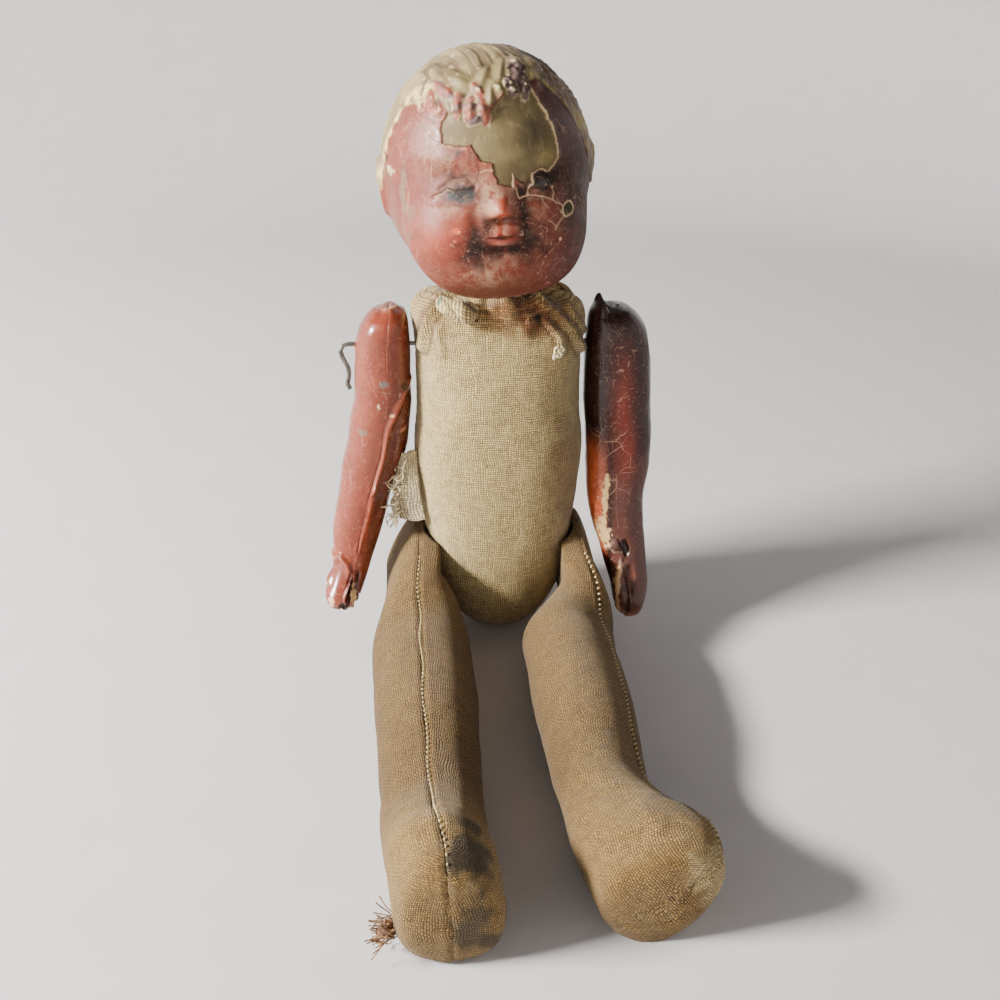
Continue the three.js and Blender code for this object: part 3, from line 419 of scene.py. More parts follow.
def spread(coarse, share, angle):
    """Values of a coarse grid at finer places, each blended smoothly from the four by four nearest;
    shares run down the rows and angles go round the columns."""
    rows, columns = coarse.shape[:2]
    i = np.clip((share - 0.02) / 0.96, 0, 1) * (rows - 1)
    j = angle / (2 * np.pi) * columns
    i, j = np.broadcast_arrays(i, j)
    i0, j0 = np.floor(i).astype(int), np.floor(j).astype(int)

    def weights(t):
        """The four blending weights of a cubic B-spline."""
        return ((1 - t) ** 3 / 6, (3 * t ** 3 - 6 * t ** 2 + 4) / 6,
                (-3 * t ** 3 + 3 * t ** 2 + 3 * t + 1) / 6, t ** 3 / 6)

    total = 0
    for a, wi in enumerate(weights(i - i0)):
        for b, wj in enumerate(weights(j - j0)):
            pick = coarse[np.clip(i0 + a - 1, 0, rows - 1), (j0 + b - 1) % columns]
            total = total + pick * (wi * wj)[..., None]
    return total


def woven(name, pitch, thread_depth, gap_shade, warp_tint, weft_tint, fluff):
    """Plain weave on flat places in millimetres: two rows of half waves cross, and a checker of their
    signs says which thread lies on top. Each thread has its own tint and thick places."""
    cloth = Finish(name)
    flat = cloth.add("UVMap", {"uv_map": "cloth"})
    paint = cloth.add("Attribute", {"attribute_name": "paint"}, {}, out="Color")
    drift = cloth.noise(flat, 0.12, 2)
    shake = cloth.noise(flat, 0.9, 1)
    split = cloth.add("SeparateXYZ", {}, {0: flat})
    down = Reading(cloth, split.socket.node.outputs[1])
    u = (split + drift * 3.0 + shake * 0.14) * (np.pi / pitch)
    v = (down + drift * 2.4 + shake * 0.12) * (np.pi / pitch)
    warp, weft = u.maths("SINE"), v.maths("SINE")
    over = (warp * weft).step(-0.12, 0.12)
    across_warp, across_weft = warp.maths("ABSOLUTE"), weft.maths("ABSOLUTE")
    warp_high = across_warp * (across_weft ** 0.45)
    weft_high = across_weft * (across_warp ** 0.45)
    height = weft_high + (warp_high - weft_high) * over

    def thread(number, along, seed):
        """A random value for each thread, which drifts slowly along it."""
        row = (number * (1 / np.pi)).maths("FLOOR")
        spot = cloth.add("CombineXYZ", {}, {0: row * 7.31 + seed, 1: along * 0.05})
        return cloth.noise(spot, 1.0, 1)

    warp_own, weft_own = thread(u, v, 3.0), thread(v, u, 71.0)
    own = weft_own + (warp_own - weft_own) * over
    tint = cloth.mix(over, weft_tint, warp_tint)
    colour = cloth.mix(1.0, paint, tint, "MULTIPLY")
    colour = cloth.mix(own.step(0.3, 0.7, 0.55, 0), colour, cloth.mix(1.0, colour, gap_shade, "MULTIPLY"))
    colour = cloth.mix(height.step(0.74, 0.18, 0, 0.95), colour,
                       cloth.mix(1.0, colour, gap_shade, "MULTIPLY"))
    hairs = cloth.noise(flat, 2.6, 3, stretch=(1, 0.25, 1))
    relief = height * 0.8 + own * 0.25 + hairs * 0.2
    cloth.surface(colour, height.step(0, 1, 0.98, 0.88), relief, thread_depth, Sheen_Weight=fluff,
                  Sheen_Roughness=0.5, Specular_IOR_Level=0.2)
    return cloth.material


muslin = woven("cream_muslin", 0.62, 0.30, (0.24, 0.18, 0.10), (1.06, 1.03, 0.97), (0.97, 0.96, 0.93), 0.2)
cream = as_light(224, 202, 146)
straw = as_light(176, 148, 100)
rust = as_light(136, 82, 36)
soot = as_light(64, 52, 42)


def blot(points, centre, radius, ragged=0.35, seed=0):
    """A soft-edged blot about a centre, with a ragged rim; a three-number radius makes an oval."""
    away = np.linalg.norm((points - np.array(centre)) / np.array(radius), axis=-1)
    return 1 - ramp(away + ragged * clouds(points, np.mean(radius) * 0.6, seed, 2), 0.65, 1.15)


# Each neck fold: its path across and up, its half width and its height.
neck_folds = [
    ([(8, 106), (14, 103.5), (20, 97.5), (23.5, 90)], 1.1, 2.0),
    ([(12, 101), (16, 96.5), (17.5, 92)], 0.9, 1.3),
    ([(18.5, 104), (21.5, 99.5), (24, 95)], 0.8, 1.2),
    ([(-16, 106), (-20.5, 101), (-22.5, 92)], 1.1, 1.5),
    ([(-18, 99), (-17, 92)], 0.9, 0.7),
    ([(-8, 105), (0, 104.1), (7, 104.6), (13, 106)], 0.5, 1.1),
    ([(-7, 103.2), (0, 102.3), (6, 102.6), (11, 103.8), (15, 105.6)], 0.5, 1.0),
    ([(1, 100.9), (8, 101.0), (12, 102.2), (16.5, 104)], 0.45, 0.8),
    ([(-6, 101.4), (0, 100.4)], 0.45, 0.5)]
# Each stain: how strong, its centre, its reach, how ragged, its seed and its colour.
torso_stains = [
    (0.55, (19, -8, 56), (6, 9, 19), 0.4, 3, as_light(150, 112, 74)),
    (0.6, (5, -8.5, 103), (15, 9, 5), 0.6, 14, as_light(172, 132, 80)),
    (0.85, (6, -8.5, 102.5), (8, 9, 4.6), 0.7, 7, rust),
    (0.6, (9.5, -9, 99.5), (4.5, 9, 3.4), 0.6, 9, rust * 0.7),
    (0.5, (-4, -9, 104), (6, 9, 2.4), 0.6, 12, as_light(166, 116, 64))]


def torso_paint(points):
    """The muslin's colour: yellowing in clouds, darker and yellower low down, painted shade down the left
    side and beside the neck folds, rust under the chin, a brown patch down the left side, and small dark
    holes, two at the neck and one on the belly."""
    paint = np.broadcast_to(cream, points.shape).copy()
    paint = lay(paint, 0.5 + 0.5 * clouds(points, 22, 5, 3), cream * 0.9 + straw * 0.1)
    # The cloth is darker and yellower low down.
    paint = lay(paint, 0.3 * ramp(points[..., 2], 40, 5), straw)
    # The left side, turned from the light, is darkened and browned as painted shade.
    paint = lay(paint, 0.6 * ramp(points[..., 0], 6, 20), cream * (0.55, 0.52, 0.48))
    paint = lay(paint, 0.55 * ramp(points[..., 2], 92, 104), straw)
    for much, centre, reach, ragged, seed, colour in torso_stains:
        paint = lay(paint, much * blot(points, centre, reach, ragged, seed), colour)
    # The creases beside each neck fold are painted dark brown as painted shade.
    for fold, width, high in neck_folds:
        beside = to_path(points[..., [0, 2]], fold)[0] - 1.7 * width
        crease = ridge(beside, 0.5 * width) * (points[..., 1] < 3)
        paint = lay(paint, min(0.8, 0.5 * high) * crease, as_light(104, 70, 36))
    for x, z, radius in ((10.1, 101.6, 1.0), (-7.3, 101.7, 0.5), (-4.5, 59.3, 0.35)):
        hole = np.hypot(points[..., 0] - x, points[..., 2] - z) < radius
        paint = lay(paint, hole & (points[..., 1] < 0), soot * 0.4)
    return paint


def gathers(points, share):
    """Pleats that run down from the tied neck: ridged random folds round the collar that fade out
    below the shoulders."""
    turn = np.arctan2(points[..., 1] - neck_back, points[..., 0])
    circle = np.stack([np.cos(turn) * 9, np.sin(turn) * 9, points[..., 2] * 0.12], -1)
    pleats = (1 - 2 * np.abs(clouds(circle, 1.9, 21))) * 1.2 * ramp(share, 0.83, 0.95)
    flat = points[..., [0, 2]]
    for fold, width, high in neck_folds:
        pleats = pleats + high * ridge(to_path(flat, fold)[0], width) * (points[..., 1] < 3)
    return pleats * (1 - 0.9 * blot(points, (-12.6, -9, 103.5), (7, 9, 4.5), 0, 1))


torso_moves = swelling(torso_form, 30, 44, 0.03, 1.1)
torso_shares = np.concatenate([np.linspace(0, 0.1, 36)[:-1], np.linspace(0.1, 1, 190)])
torso_columns, leg_columns, arm_columns = 170, 92, 168
for name, node, back in (("torso_front_muslin", "torso_front_cloth", False),
                         ("torso_back_muslin", "torso_back_cloth", True)):
    share = torso_shares[:, None]
    depth_here = np.ptp(torso_form(share, np.array([[np.pi / 2, -np.pi / 2]]))[..., 1], axis=1) / 2
    side_seam = np.arcsin(np.clip(side_seam_back / depth_here, 0, 0.97) ** 1.15)[:, None]
    start, end = (side_seam, np.pi - side_seam) if back else (np.pi - side_seam, 2 * np.pi + side_seam)
    across = np.linspace(0, 1, 400)[None]
    angle = start + (end - start) * across
    fine = torso_form(share, angle) + spread(torso_moves, share, angle)
    panel = even(fine, torso_columns)
    # The seat closes on the line of the side seams.
    line = (panel[:1, :1] + (panel[:1, -1:] - panel[:1, :1])
            * np.linspace(0, 1, torso_columns)[None, :, None])
    seat = [panel[:1] + (line - panel[:1]) * k for k in (0.995, 0.75, 0.5, 0.25)]
    panel = np.concatenate(seat + [panel])
    shares = np.concatenate([np.zeros(4), torso_shares])[:, None]
    rise = shares[:, 0] * (torso_height + floor_cut)
    inside = np.stack([np.zeros(len(shares)), torso_lean * rise, rise], -1)[:, None]
    normal = normals_of(panel, inside)
    flat = cloth_lengths(panel, torso_columns // 2)
    from_edge = np.minimum(flat[..., 0] - flat[:, :1, 0], flat[:, -1:, 0] - flat[..., 0])
    tuck = -0.55 * ridge(from_edge, 1.1)
    pucker = 0.16 * np.sin(flat[..., 1] * 2.1 + 2 * clouds(panel, 8, 31)) * np.exp(-from_edge / 3)
    lumps = 0.35 * clouds(panel, 14, 2) + 0.12 * clouds(panel, 5, 4)
    calm = ramp(panel[..., 2], 0.3, 5)
    folds = gathers(panel, shares)
    lift = (tuck + pucker + lumps) * calm + folds
    panel = panel + normal * lift[..., None]
    panel[..., 2] = np.maximum(panel[..., 2], 0.02)
    shade = 0.5 * ramp(panel[..., 2], 88, 99) * ramp(folds, 0.1, -0.9)
    piece = build(name, panel, grid_quads(*panel.shape[:2]), uv=flat,
                  paint=lay(torso_paint(panel), shade, as_light(104, 76, 44)),
                  outward=(0, 3, 55))
    wall = piece.modifiers.new("cloth_wall", "SOLIDIFY")
    wall.thickness = cloth_thickness * MM
    wall.offset = -1
    piece.data.materials.append(muslin)
    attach(piece, "torso")
    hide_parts(node)

# Stuffing: packed cotton waste inside the torso and the legs, hidden by the cloth.
wadding = Finish("cotton_wadding")
where = wadding.add("TexCoord", {}, {}, out="Object")
strands = wadding.noise(where, 900, 5, 0.7, (1, 1, 0.3))
fibres = wadding.mix(strands.step(0.35, 0.65), as_light(150, 130, 92), as_light(206, 192, 156))
waste = wadding.surface(fibres, strands.step(0, 1, 0.95, 1), strands, 0.5, Sheen_Weight=0.3)


def end_fans(rows, columns):
    """Corner numbers of the triangles that close the first and the last row of a grid whose columns go
    round."""
    k = np.arange(1, columns - 1)
    first = np.stack([0 * k, k, k + 1], -1)
    last = (rows - 1) * columns + np.stack([0 * k, k + 1, k], -1)
    return np.concatenate([first, last])


def stuff(name, form, rows, columns, body, *nodes):
    """A lumpy closed filling from a form that takes shares and angles, pinched to a point at each end."""
    share = np.linspace(0, 1, rows)[:, None]
    angle = np.linspace(0, 2 * np.pi, columns, endpoint=False)[None]
    grid = form(share, angle)
    centre = grid.mean(1, keepdims=True)
    grid = grid + (centre - grid) * (0.02 + 0.03 * (1 + clouds(grid, 6, 8, 2)))[..., None]
    grid[[0, -1]] = centre[[0, -1]] + (grid[[0, -1]] - centre[[0, -1]]) * 0.03
    piece = build(name, grid, grid_quads(rows, columns, around=True), end_fans(rows, columns))
    piece.data.materials.append(waste)
    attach(piece, body)
    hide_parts(*nodes)
    return piece


stuff("torso_wadding", lambda share, angle: torso_form(0.01 + share * 0.93, angle, 1.7), 50, 60, "torso",
      "torso_stuffing")

# Neck dressing: a twisted string ties the cloth under the head's flange, its gathered hem stands up
# above the string, and the spare cloth is rolled to a lump on the right. A small knot of pale thread
# lies on the chest.


def tubes(paths, radius, sides=6):
    """Closed round rods along many paths with as many points each: a ring of points square to the path
    at every point, and a fan over each end."""
    paths = np.asarray(paths, float)
    count, length = paths.shape[:2]
    radius = np.broadcast_to(radius, (count, length))
    along = np.gradient(paths, axis=1)
    along /= np.maximum(np.linalg.norm(along, axis=-1, keepdims=True), 1e-9)
    least = np.abs(along).mean(1).argmin(-1)
    side = np.cross(along, np.eye(3)[least][:, None])
    side /= np.maximum(np.linalg.norm(side, axis=-1, keepdims=True), 1e-9)
    up = np.cross(side, along)
    turn = np.linspace(0, 2 * np.pi, sides, endpoint=False)
    ring = np.cos(turn)[:, None] * side[:, :, None] + np.sin(turn)[:, None] * up[:, :, None]
    points = paths[:, :, None] + ring * radius[:, :, None, None]
    quads = grid_quads(length, sides, around=True)
    shift = (np.arange(count) * length * sides)[:, None, None]
    return (points.reshape(-1, 3), (quads[None] + shift).reshape(-1, 4),
            (end_fans(length, sides)[None] + shift).reshape(-1, 3))


def joined(*parts):
    """Several sets of points, squares and triangles as one set."""
    starts = np.cumsum([0] + [len(part[0]) for part in parts[:-1]])
    return (np.concatenate([part[0] for part in parts]),
            np.concatenate([part[1] + start for part, start in zip(parts, starts)]),
            np.concatenate([part[2] + start for part, start in zip(parts, starts)]))


def spun(name, light, dark, twist):
    """Cotton thread: fine twisted strands as slanting bands of two tints on Object places."""
    thread = Finish(name)
    place = thread.add("TexCoord", {}, {}, out="Object")
    strand = thread.noise(place, twist, 3, 0.6)
    return thread.surface(thread.mix(strand.step(0.35, 0.65), dark, light), strand.step(0, 1, 0.8, 0.95),
                          strand, 0.08, Sheen_Weight=0.3)


cream_thread = spun("cream_thread", as_light(216, 202, 164), as_light(160, 140, 98), 1800)
straw_thread = spun("straw_thread", as_light(206, 186, 136), as_light(150, 128, 84), 2200)
brown_string = spun("brown_string", as_light(170, 138, 92), as_light(112, 82, 50), 1500)

string_height, string_ring, ply_radius, ply_reach, ply_turns = 107.8, 11.7, 0.48, 0.42, 17
turn = np.linspace(0, 2 * np.pi, 420)[None]
ply = np.array([0, np.pi])[:, None] + turn * ply_turns
reach = string_ring + ply_reach * np.cos(ply)
plies = np.stack([reach * np.cos(turn), neck_back + reach * np.sin(turn),
                  string_height + ply_reach * np.sin(ply)], -1)
piece = build("neck_tie_string", *tubes(plies, ply_radius, 8))
piece.data.materials.append(brown_string)
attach(piece, "torso")
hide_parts("neck_string")

hem_middle, hem_height, hem_turns, hem_sides = 12.1, 110.0, 360, 26
turn = np.linspace(0, 2 * np.pi, hem_turns, endpoint=False)[:, None]
section = np.linspace(0, 2 * np.pi, hem_sides, endpoint=False)[None]
circle = np.stack([np.cos(turn) * 8, np.sin(turn) * 8, 0 * turn], -1)
fold = clouds(circle, 1.5, 41, 2)
out = hem_middle + 1.45 * np.cos(section) + 0.55 * fold * (np.cos(section) > 0)
out = out + 0.3 * np.sin(3 * section + 4 * fold)
bunch = ridge(turn, 0.5) + ridge(turn - 2 * np.pi, 0.5) + 0.7 * ridge(turn - np.pi, 0.5)
out = out + 1.6 * bunch
high = hem_height + 0.95 * np.sin(section) + 0.35 * fold + 1.1 * bunch * (1 + 0.5 * np.sin(section))
hem = np.stack([out * np.cos(turn), neck_back + out * np.sin(turn), high], -1)
hem_paint = lay(torso_paint(hem), 0.5 * blot(hem, (5, -7, 110), (9, 9, 4), 0.5, 4), rust)
j = np.arange(hem_sides)
last = (hem_turns - 1) * hem_sides
closing = np.stack([last + j, last + (j + 1) % hem_sides, (j + 1) % hem_sides, j], -1)
hem_quads = np.concatenate([grid_quads(hem_turns, hem_sides, around=True), closing])
piece = build("neck_gathered_hem", hem, hem_quads,
              uv=np.stack(np.broadcast_arrays(turn * 12, section * 1.2), -1), paint=hem_paint)
piece.data.materials.append(muslin)
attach(piece, "torso")
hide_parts("neck_hem")

roll_middle = np.array([-12.0, -10.6, 104.9])
roll_rows, roll_sides = 90, 60
along = np.linspace(-1, 1, roll_rows)[:, None]
around = np.linspace(0, 2 * np.pi, roll_sides, endpoint=False)[None]
girth = np.sqrt(np.maximum(0.02, 1 - along ** 2)) * (1 + 0.2 * np.sin(5 * along))
crease = 1 - 0.26 * ridge(np.sin((around - 2.2 * along) / 2 - 0.6), 0.3)
crease = crease - 0.18 * ridge(np.sin((around - 3.0 * along) / 2 - 2.0), 0.25)
roll = np.stack(np.broadcast_arrays(
    6.6 * along + 0 * around, 4.2 * along ** 2 + 2.6 * girth * crease * np.cos(around),
    -2.2 * along + 1.2 * along ** 3 + 3.3 * girth * crease * np.sin(around)), -1) + roll_middle
# The roll is painted darker in its creases as painted shade.
roll_paint = lay(np.broadcast_to(cream * 0.95, roll.shape), ramp(crease, 0.92, 0.7), as_light(96, 66, 34))
roll_paint = lay(roll_paint, blot(roll, (-17, -8.6, 107), 1.4, 0.3, 6), as_light(110, 140, 104))
piece = build("neck_rolled_cloth", roll, grid_quads(roll_rows, roll_sides, around=True),
              end_fans(roll_rows, roll_sides),
              uv=np.stack(np.broadcast_arrays(around * 2.3, along * 4.6), -1), paint=roll_paint)
piece.data.materials.append(muslin)
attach(piece, "torso")
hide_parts("neck_cloth_roll")


def stray(middle, reach, count, steps, seed, loops=1.5):
    """Curly thread paths about a middle: each coordinate is a sum of two slow waves of random phase."""
    draw = np.random.default_rng(seed)
    t = np.linspace(0, 1, steps)[None, :, None]
    phase = draw.uniform(0, 2 * np.pi, (2, count, 1, 3))
    size = draw.uniform(0.4, 1, (2, count, 1, 3))
    wave = (size[0] * np.sin(2 * np.pi * loops * t + phase[0])
            + 0.4 * size[1] * np.sin(4 * np.pi * loops * t + phase[1]))
    return np.array(middle) + wave * np.array(reach)


knot_middle = np.array([15.9, -10.9, 92.2])
piece = build("chest_thread_tangle", *tubes(stray(knot_middle, (1.3, 0.5, 1.7), 5, 40, 9, 0.8), 0.42, 8))
piece.data.materials.append(cream_thread)
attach(piece, "torso")
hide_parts("chest_thread_knot")

# Side tab: a frayed scrap of the same muslin left at the right side seam. It hangs and curls forward,
# and pulled threads loop from its edges.
tab_top, tab_length = 59.7, 21
down = np.linspace(0, 1, 90)[:, None]
across = np.linspace(0, 1, 34)[None]
tab_z = tab_top - down * tab_length
tab_side = curve(torso_half_width, tab_z / torso_height) * torso_width / 2
ragged_edge = clouds(np.stack([down * 9, 0 * down, 0 * down], -1), 1, 3)
tab_reach = 2.4 + 5.2 * np.sin(0.5 * np.pi * down) + 0.7 * ragged_edge
tab_front = torso_lean * tab_z - 7.2 - 2.4 * down
tab = np.stack(np.broadcast_arrays(
    -tab_side + 1.5 - across * (tab_reach + 1.7),
    tab_front - 1.3 * np.sin(across * 2.6 + 2 * down) + 0.5 * np.sin(9 * down),
    tab_z - 1.2 * across * down + 0.5 * np.sin(5 * across + 3 * down)), -1)
tab_flat = np.stack(np.broadcast_arrays(across * 6, down * 22), -1)
tab_paint = lay(np.broadcast_to(cream, tab.shape), 0.8 + 0.2 * clouds(tab, 4, 1), as_light(244, 234, 204))
piece = build("side_frayed_tab", tab, grid_quads(*tab.shape[:2]), uv=tab_flat, paint=tab_paint,
              outward=(-20, 40, 50))
wall = piece.modifiers.new("cloth_wall", "SOLIDIFY")
wall.thickness = 0.35 * MM
piece.data.materials.append(muslin)
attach(piece, "torso")
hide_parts("side_tab")

draw = np.random.default_rng(12)
frays = 46
pick = draw.uniform(0.05, 1, frays)
root_z = tab_top - pick * tab_length
root_side = curve(torso_half_width, root_z / torso_height) * torso_width / 2
root = np.stack([-root_side - 1.6 - 5.6 * pick, torso_lean * 50 - 8.4 - 2.4 * pick, root_z - 1], -1)
hang = np.linspace(0, 1, 12)[None, :, None]
lean = draw.normal(0, 1, (frays, 1, 3)) * (1.6, 1.1, 1.2) + (-1.5, -0.5, -1.6)
curl = draw.normal(0, 0.7, (frays, 1, 3)) * np.sin(hang * np.pi * draw.uniform(1, 2.4, (frays, 1, 1)))
fray = root[:, None] + lean * hang + curl
fringe = build("side_tab_threads", *tubes(fray, 0.16, 5))
fringe.data.materials.append(cream_thread)
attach(fringe, "torso")

# Stray threads lie on the front of the torso, with a short bent end standing off the cloth.
lie = np.linspace(0, 1, 40)
lines = []
for x0, z0, x1, z1, bow in ((-17, 63, -7, 56.5, 1.6), (-16.5, 61.5, -15.2, 57.5, -0.5),
                            (-15.8, 60.5, -19.5, 50.5, 2.2)):
    x = x0 + (x1 - x0) * lie + bow * np.sin(np.pi * lie)
    z = z0 + (z1 - z0) * lie + 0.4 * bow * np.sin(2 * np.pi * lie)
    surface = torso_form(((z + floor_cut) / (torso_height + floor_cut))[:, None],
                         np.linspace(np.pi, 2 * np.pi, 721)[None])
    y = np.array([np.interp(a, row[:, 0], row[:, 1]) for a, row in zip(x, surface)])
    lines.append(np.stack([x, y - 0.45, z], -1))
piece = build("torso_stray_threads", *tubes(lines, 0.12, 5))
piece.data.materials.append(cream_thread)
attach(piece, "torso")

# Legs: long tubes of brown plain weave, each from an outer and an inner panel with cream stitches
# along the top seam, stuffed tight, flat at the hip and turned up to a stubby foot.
hip_height, hip_back, hip_inside, hip_bulge, hip_radius, hip_fill = 18, 2, 23.0, 1.6, 16, 4.5
# Each leg's marks: how strong, the centre, its reach, how ragged, its seed and its colour.
legs = {
    "right": {"side": -1, "length": 146.6, "hip": 12, "thigh": 27.8, "ankle": 24.8, "roll": 3,
              "places": (24, 22.4, 20), "seed": 3, "toe_seam": 0.0,
              # The right leg's first and third marks are painted shade on the inner side of the foot.
              "marks": [(0.85, (-16, -139, 27), (7, 8, 6), 0.5, 2, as_light(60, 54, 38)),
                        (0.7, (-16, -147.5, 24), (5, 4, 3.2), 0.6, 5, as_light(176, 150, 112)),
                        (0.8, (-15, -147, 13), (7, 5, 9), 0.6, 6, as_light(66, 54, 32)),
                        (0.7, (-36, -139, 6), (5, 5, 4), 0.6, 8, as_light(92, 50, 26))]},
    "left": {"side": 1, "length": 143, "hip": 7.6, "thigh": 26.6, "ankle": 24.8, "roll": 54,
             "places": (18.4, 20, 23), "seed": 11, "toe_seam": 0.72,
             "marks": [(0.75, (37.5, -139, 17), (6, 7, 8), 0.6, 2, as_light(216, 194, 150)),
                       (0.5, (36, -143, 10), (5, 5, 5), 0.6, 5, as_light(128, 84, 48)),
                       (0.4, (30, -125, 24), (6, 9, 5), 0.5, 7, as_light(74, 60, 40))]},
}


def leg_form(leg, share, angle, inset=0):
    """The leg's surface: rounded-square rings square to the length, whose place, size, roll and rise at
    the instep follow smooth curves; beside the torso the inner face lies along the cloth and fills the
    gap low down. At angle 0 a ring points to the leg's outer side, and at 90 degrees to its top seam."""
    side, length = leg["side"], leg["length"]

    def on(distance):
        return (hip_radius + distance) / (hip_radius + length)

    hip, thigh, knee, ankle, toe = on(14), on(44), on(64), on(length - 30), on(length - 12)
    middle, hip_half = hip_inside + hip_bulge, leg["hip"] - hip_bulge
    thigh_place, ankle_place, sole_place = leg["places"]
    place = curve([(0, middle), (hip, middle), (thigh, thigh_place), (ankle, ankle_place),
                   (1, sole_place)], share)
    half = curve([(0, hip_half), (hip, hip_half), (thigh, leg["thigh"] / 2), (knee, leg["thigh"] / 2),
                  (ankle, leg["ankle"] / 2), (1, leg["ankle"] / 2)], share)
    tall = curve([(0, hip_radius), (on(0), hip_radius), (thigh, 12.8), (knee, 12.8), (ankle, 10.3),
                  (1, 10.3)], share)
    roll = side * np.radians(curve([(0, 0), (hip, 0), (thigh, leg["roll"] * 0.92), (1, leg["roll"])], share))
    rise = curve([(0, 0), (on(length - 40), 0), (on(length - 25), 4.4), (toe, 11), (1, 9.46)], share)
    shrink = curve([(0, .2), (on(-14), .5), (on(-10), .79), (on(-5), .95), (on(0), 1), (on(length - 5), 1),
                    (on(length - 2), .93), (on(length - .5), .8), (1, .62)], share)
    centre = hip_height + (tall - floor_cut - hip_height) * ramp(share, on(0), thigh)
    half, high = (half - inset) * shrink, (tall - inset) * shrink
    cos, sin = np.cos(angle), np.sin(angle)
    up = np.sign(sin) * np.abs(sin) ** (2 / 2.15)
    sloped = 1 - 0.5 * (1 - ramp(share, on(4), thigh)) * np.maximum(0, up) * (cos > 0)
    across = side * np.sign(cos) * np.abs(cos) ** (2 / 2.15) * half * sloped
    up = np.where(up > 0, up * (high + rise * shrink), up * high)
    x = across * np.cos(roll) + up * np.sin(roll)
    z = np.maximum(inset, centre + up * np.cos(roll) - across * np.sin(roll))
    y = hip_back + hip_radius - inset - share * (hip_radius + length - 2 * inset)
    past = share * (hip_radius + length) - 2 * hip_radius - 4.5
    torso_share = (z + floor_cut) / (torso_height + floor_cut)
    from_middle = np.abs(y - torso_lean * z) / (curve(torso_half_depth, torso_share) * torso_depth / 2 + 0.8)
    flank = (curve(torso_half_width, torso_share) * torso_width / 2
             * np.maximum(0, 1 - from_middle ** 2.3) ** (1 / 2.3) + 0.9)
    filled = np.maximum(flank, hip_inside - hip_fill)
    inner = np.minimum(hip_inside - 1.3 * np.maximum(0, past), filled) + inset
    out = np.maximum(place + side * x, inner)
    fill = ramp(-y, 3, 9) * ramp(past, 9, -3) * ramp(-cos, 0.0, 0.5) * ramp(z, 3, 8)
    x = side * (out + fill * (np.maximum(inner, hip_inside - hip_fill + inset) - out) * (out > inner))
    return np.stack(np.broadcast_arrays(x, y, z), -1)


stocking = woven("brown_stocking_cotton", 0.60, 0.24, (0.16, 0.12, 0.06), (0.82, 0.82, 0.80),
                 (1.24, 1.17, 0.98), 0.12)
tobacco = as_light(118, 92, 50)
pale_brown = as_light(164, 134, 80)


def leg_paint(points, leg):
    """Brown cotton, paler along the top, darker in clouds and low at the sides; each foot is rubbed pale at
    the toe, and the right foot is darkened on its inner side as painted shade."""
    length = leg["length"]
    paint = np.broadcast_to(tobacco, points.shape).copy()
    paint = lay(paint, 0.35 + 0.4 * clouds(points, 16, leg["seed"], 3), tobacco * 0.8)
    paint = lay(paint, 0.45 * ramp(points[..., 2], 14, 26), pale_brown)
    paint = lay(paint, 0.7 * ramp(-points[..., 1], length - 50, length - 8), pale_brown)
    for much, centre, reach, ragged, seed, colour in leg["marks"]:
        paint = lay(paint, much * blot(points, centre, reach, ragged, seed), colour)
    return paint


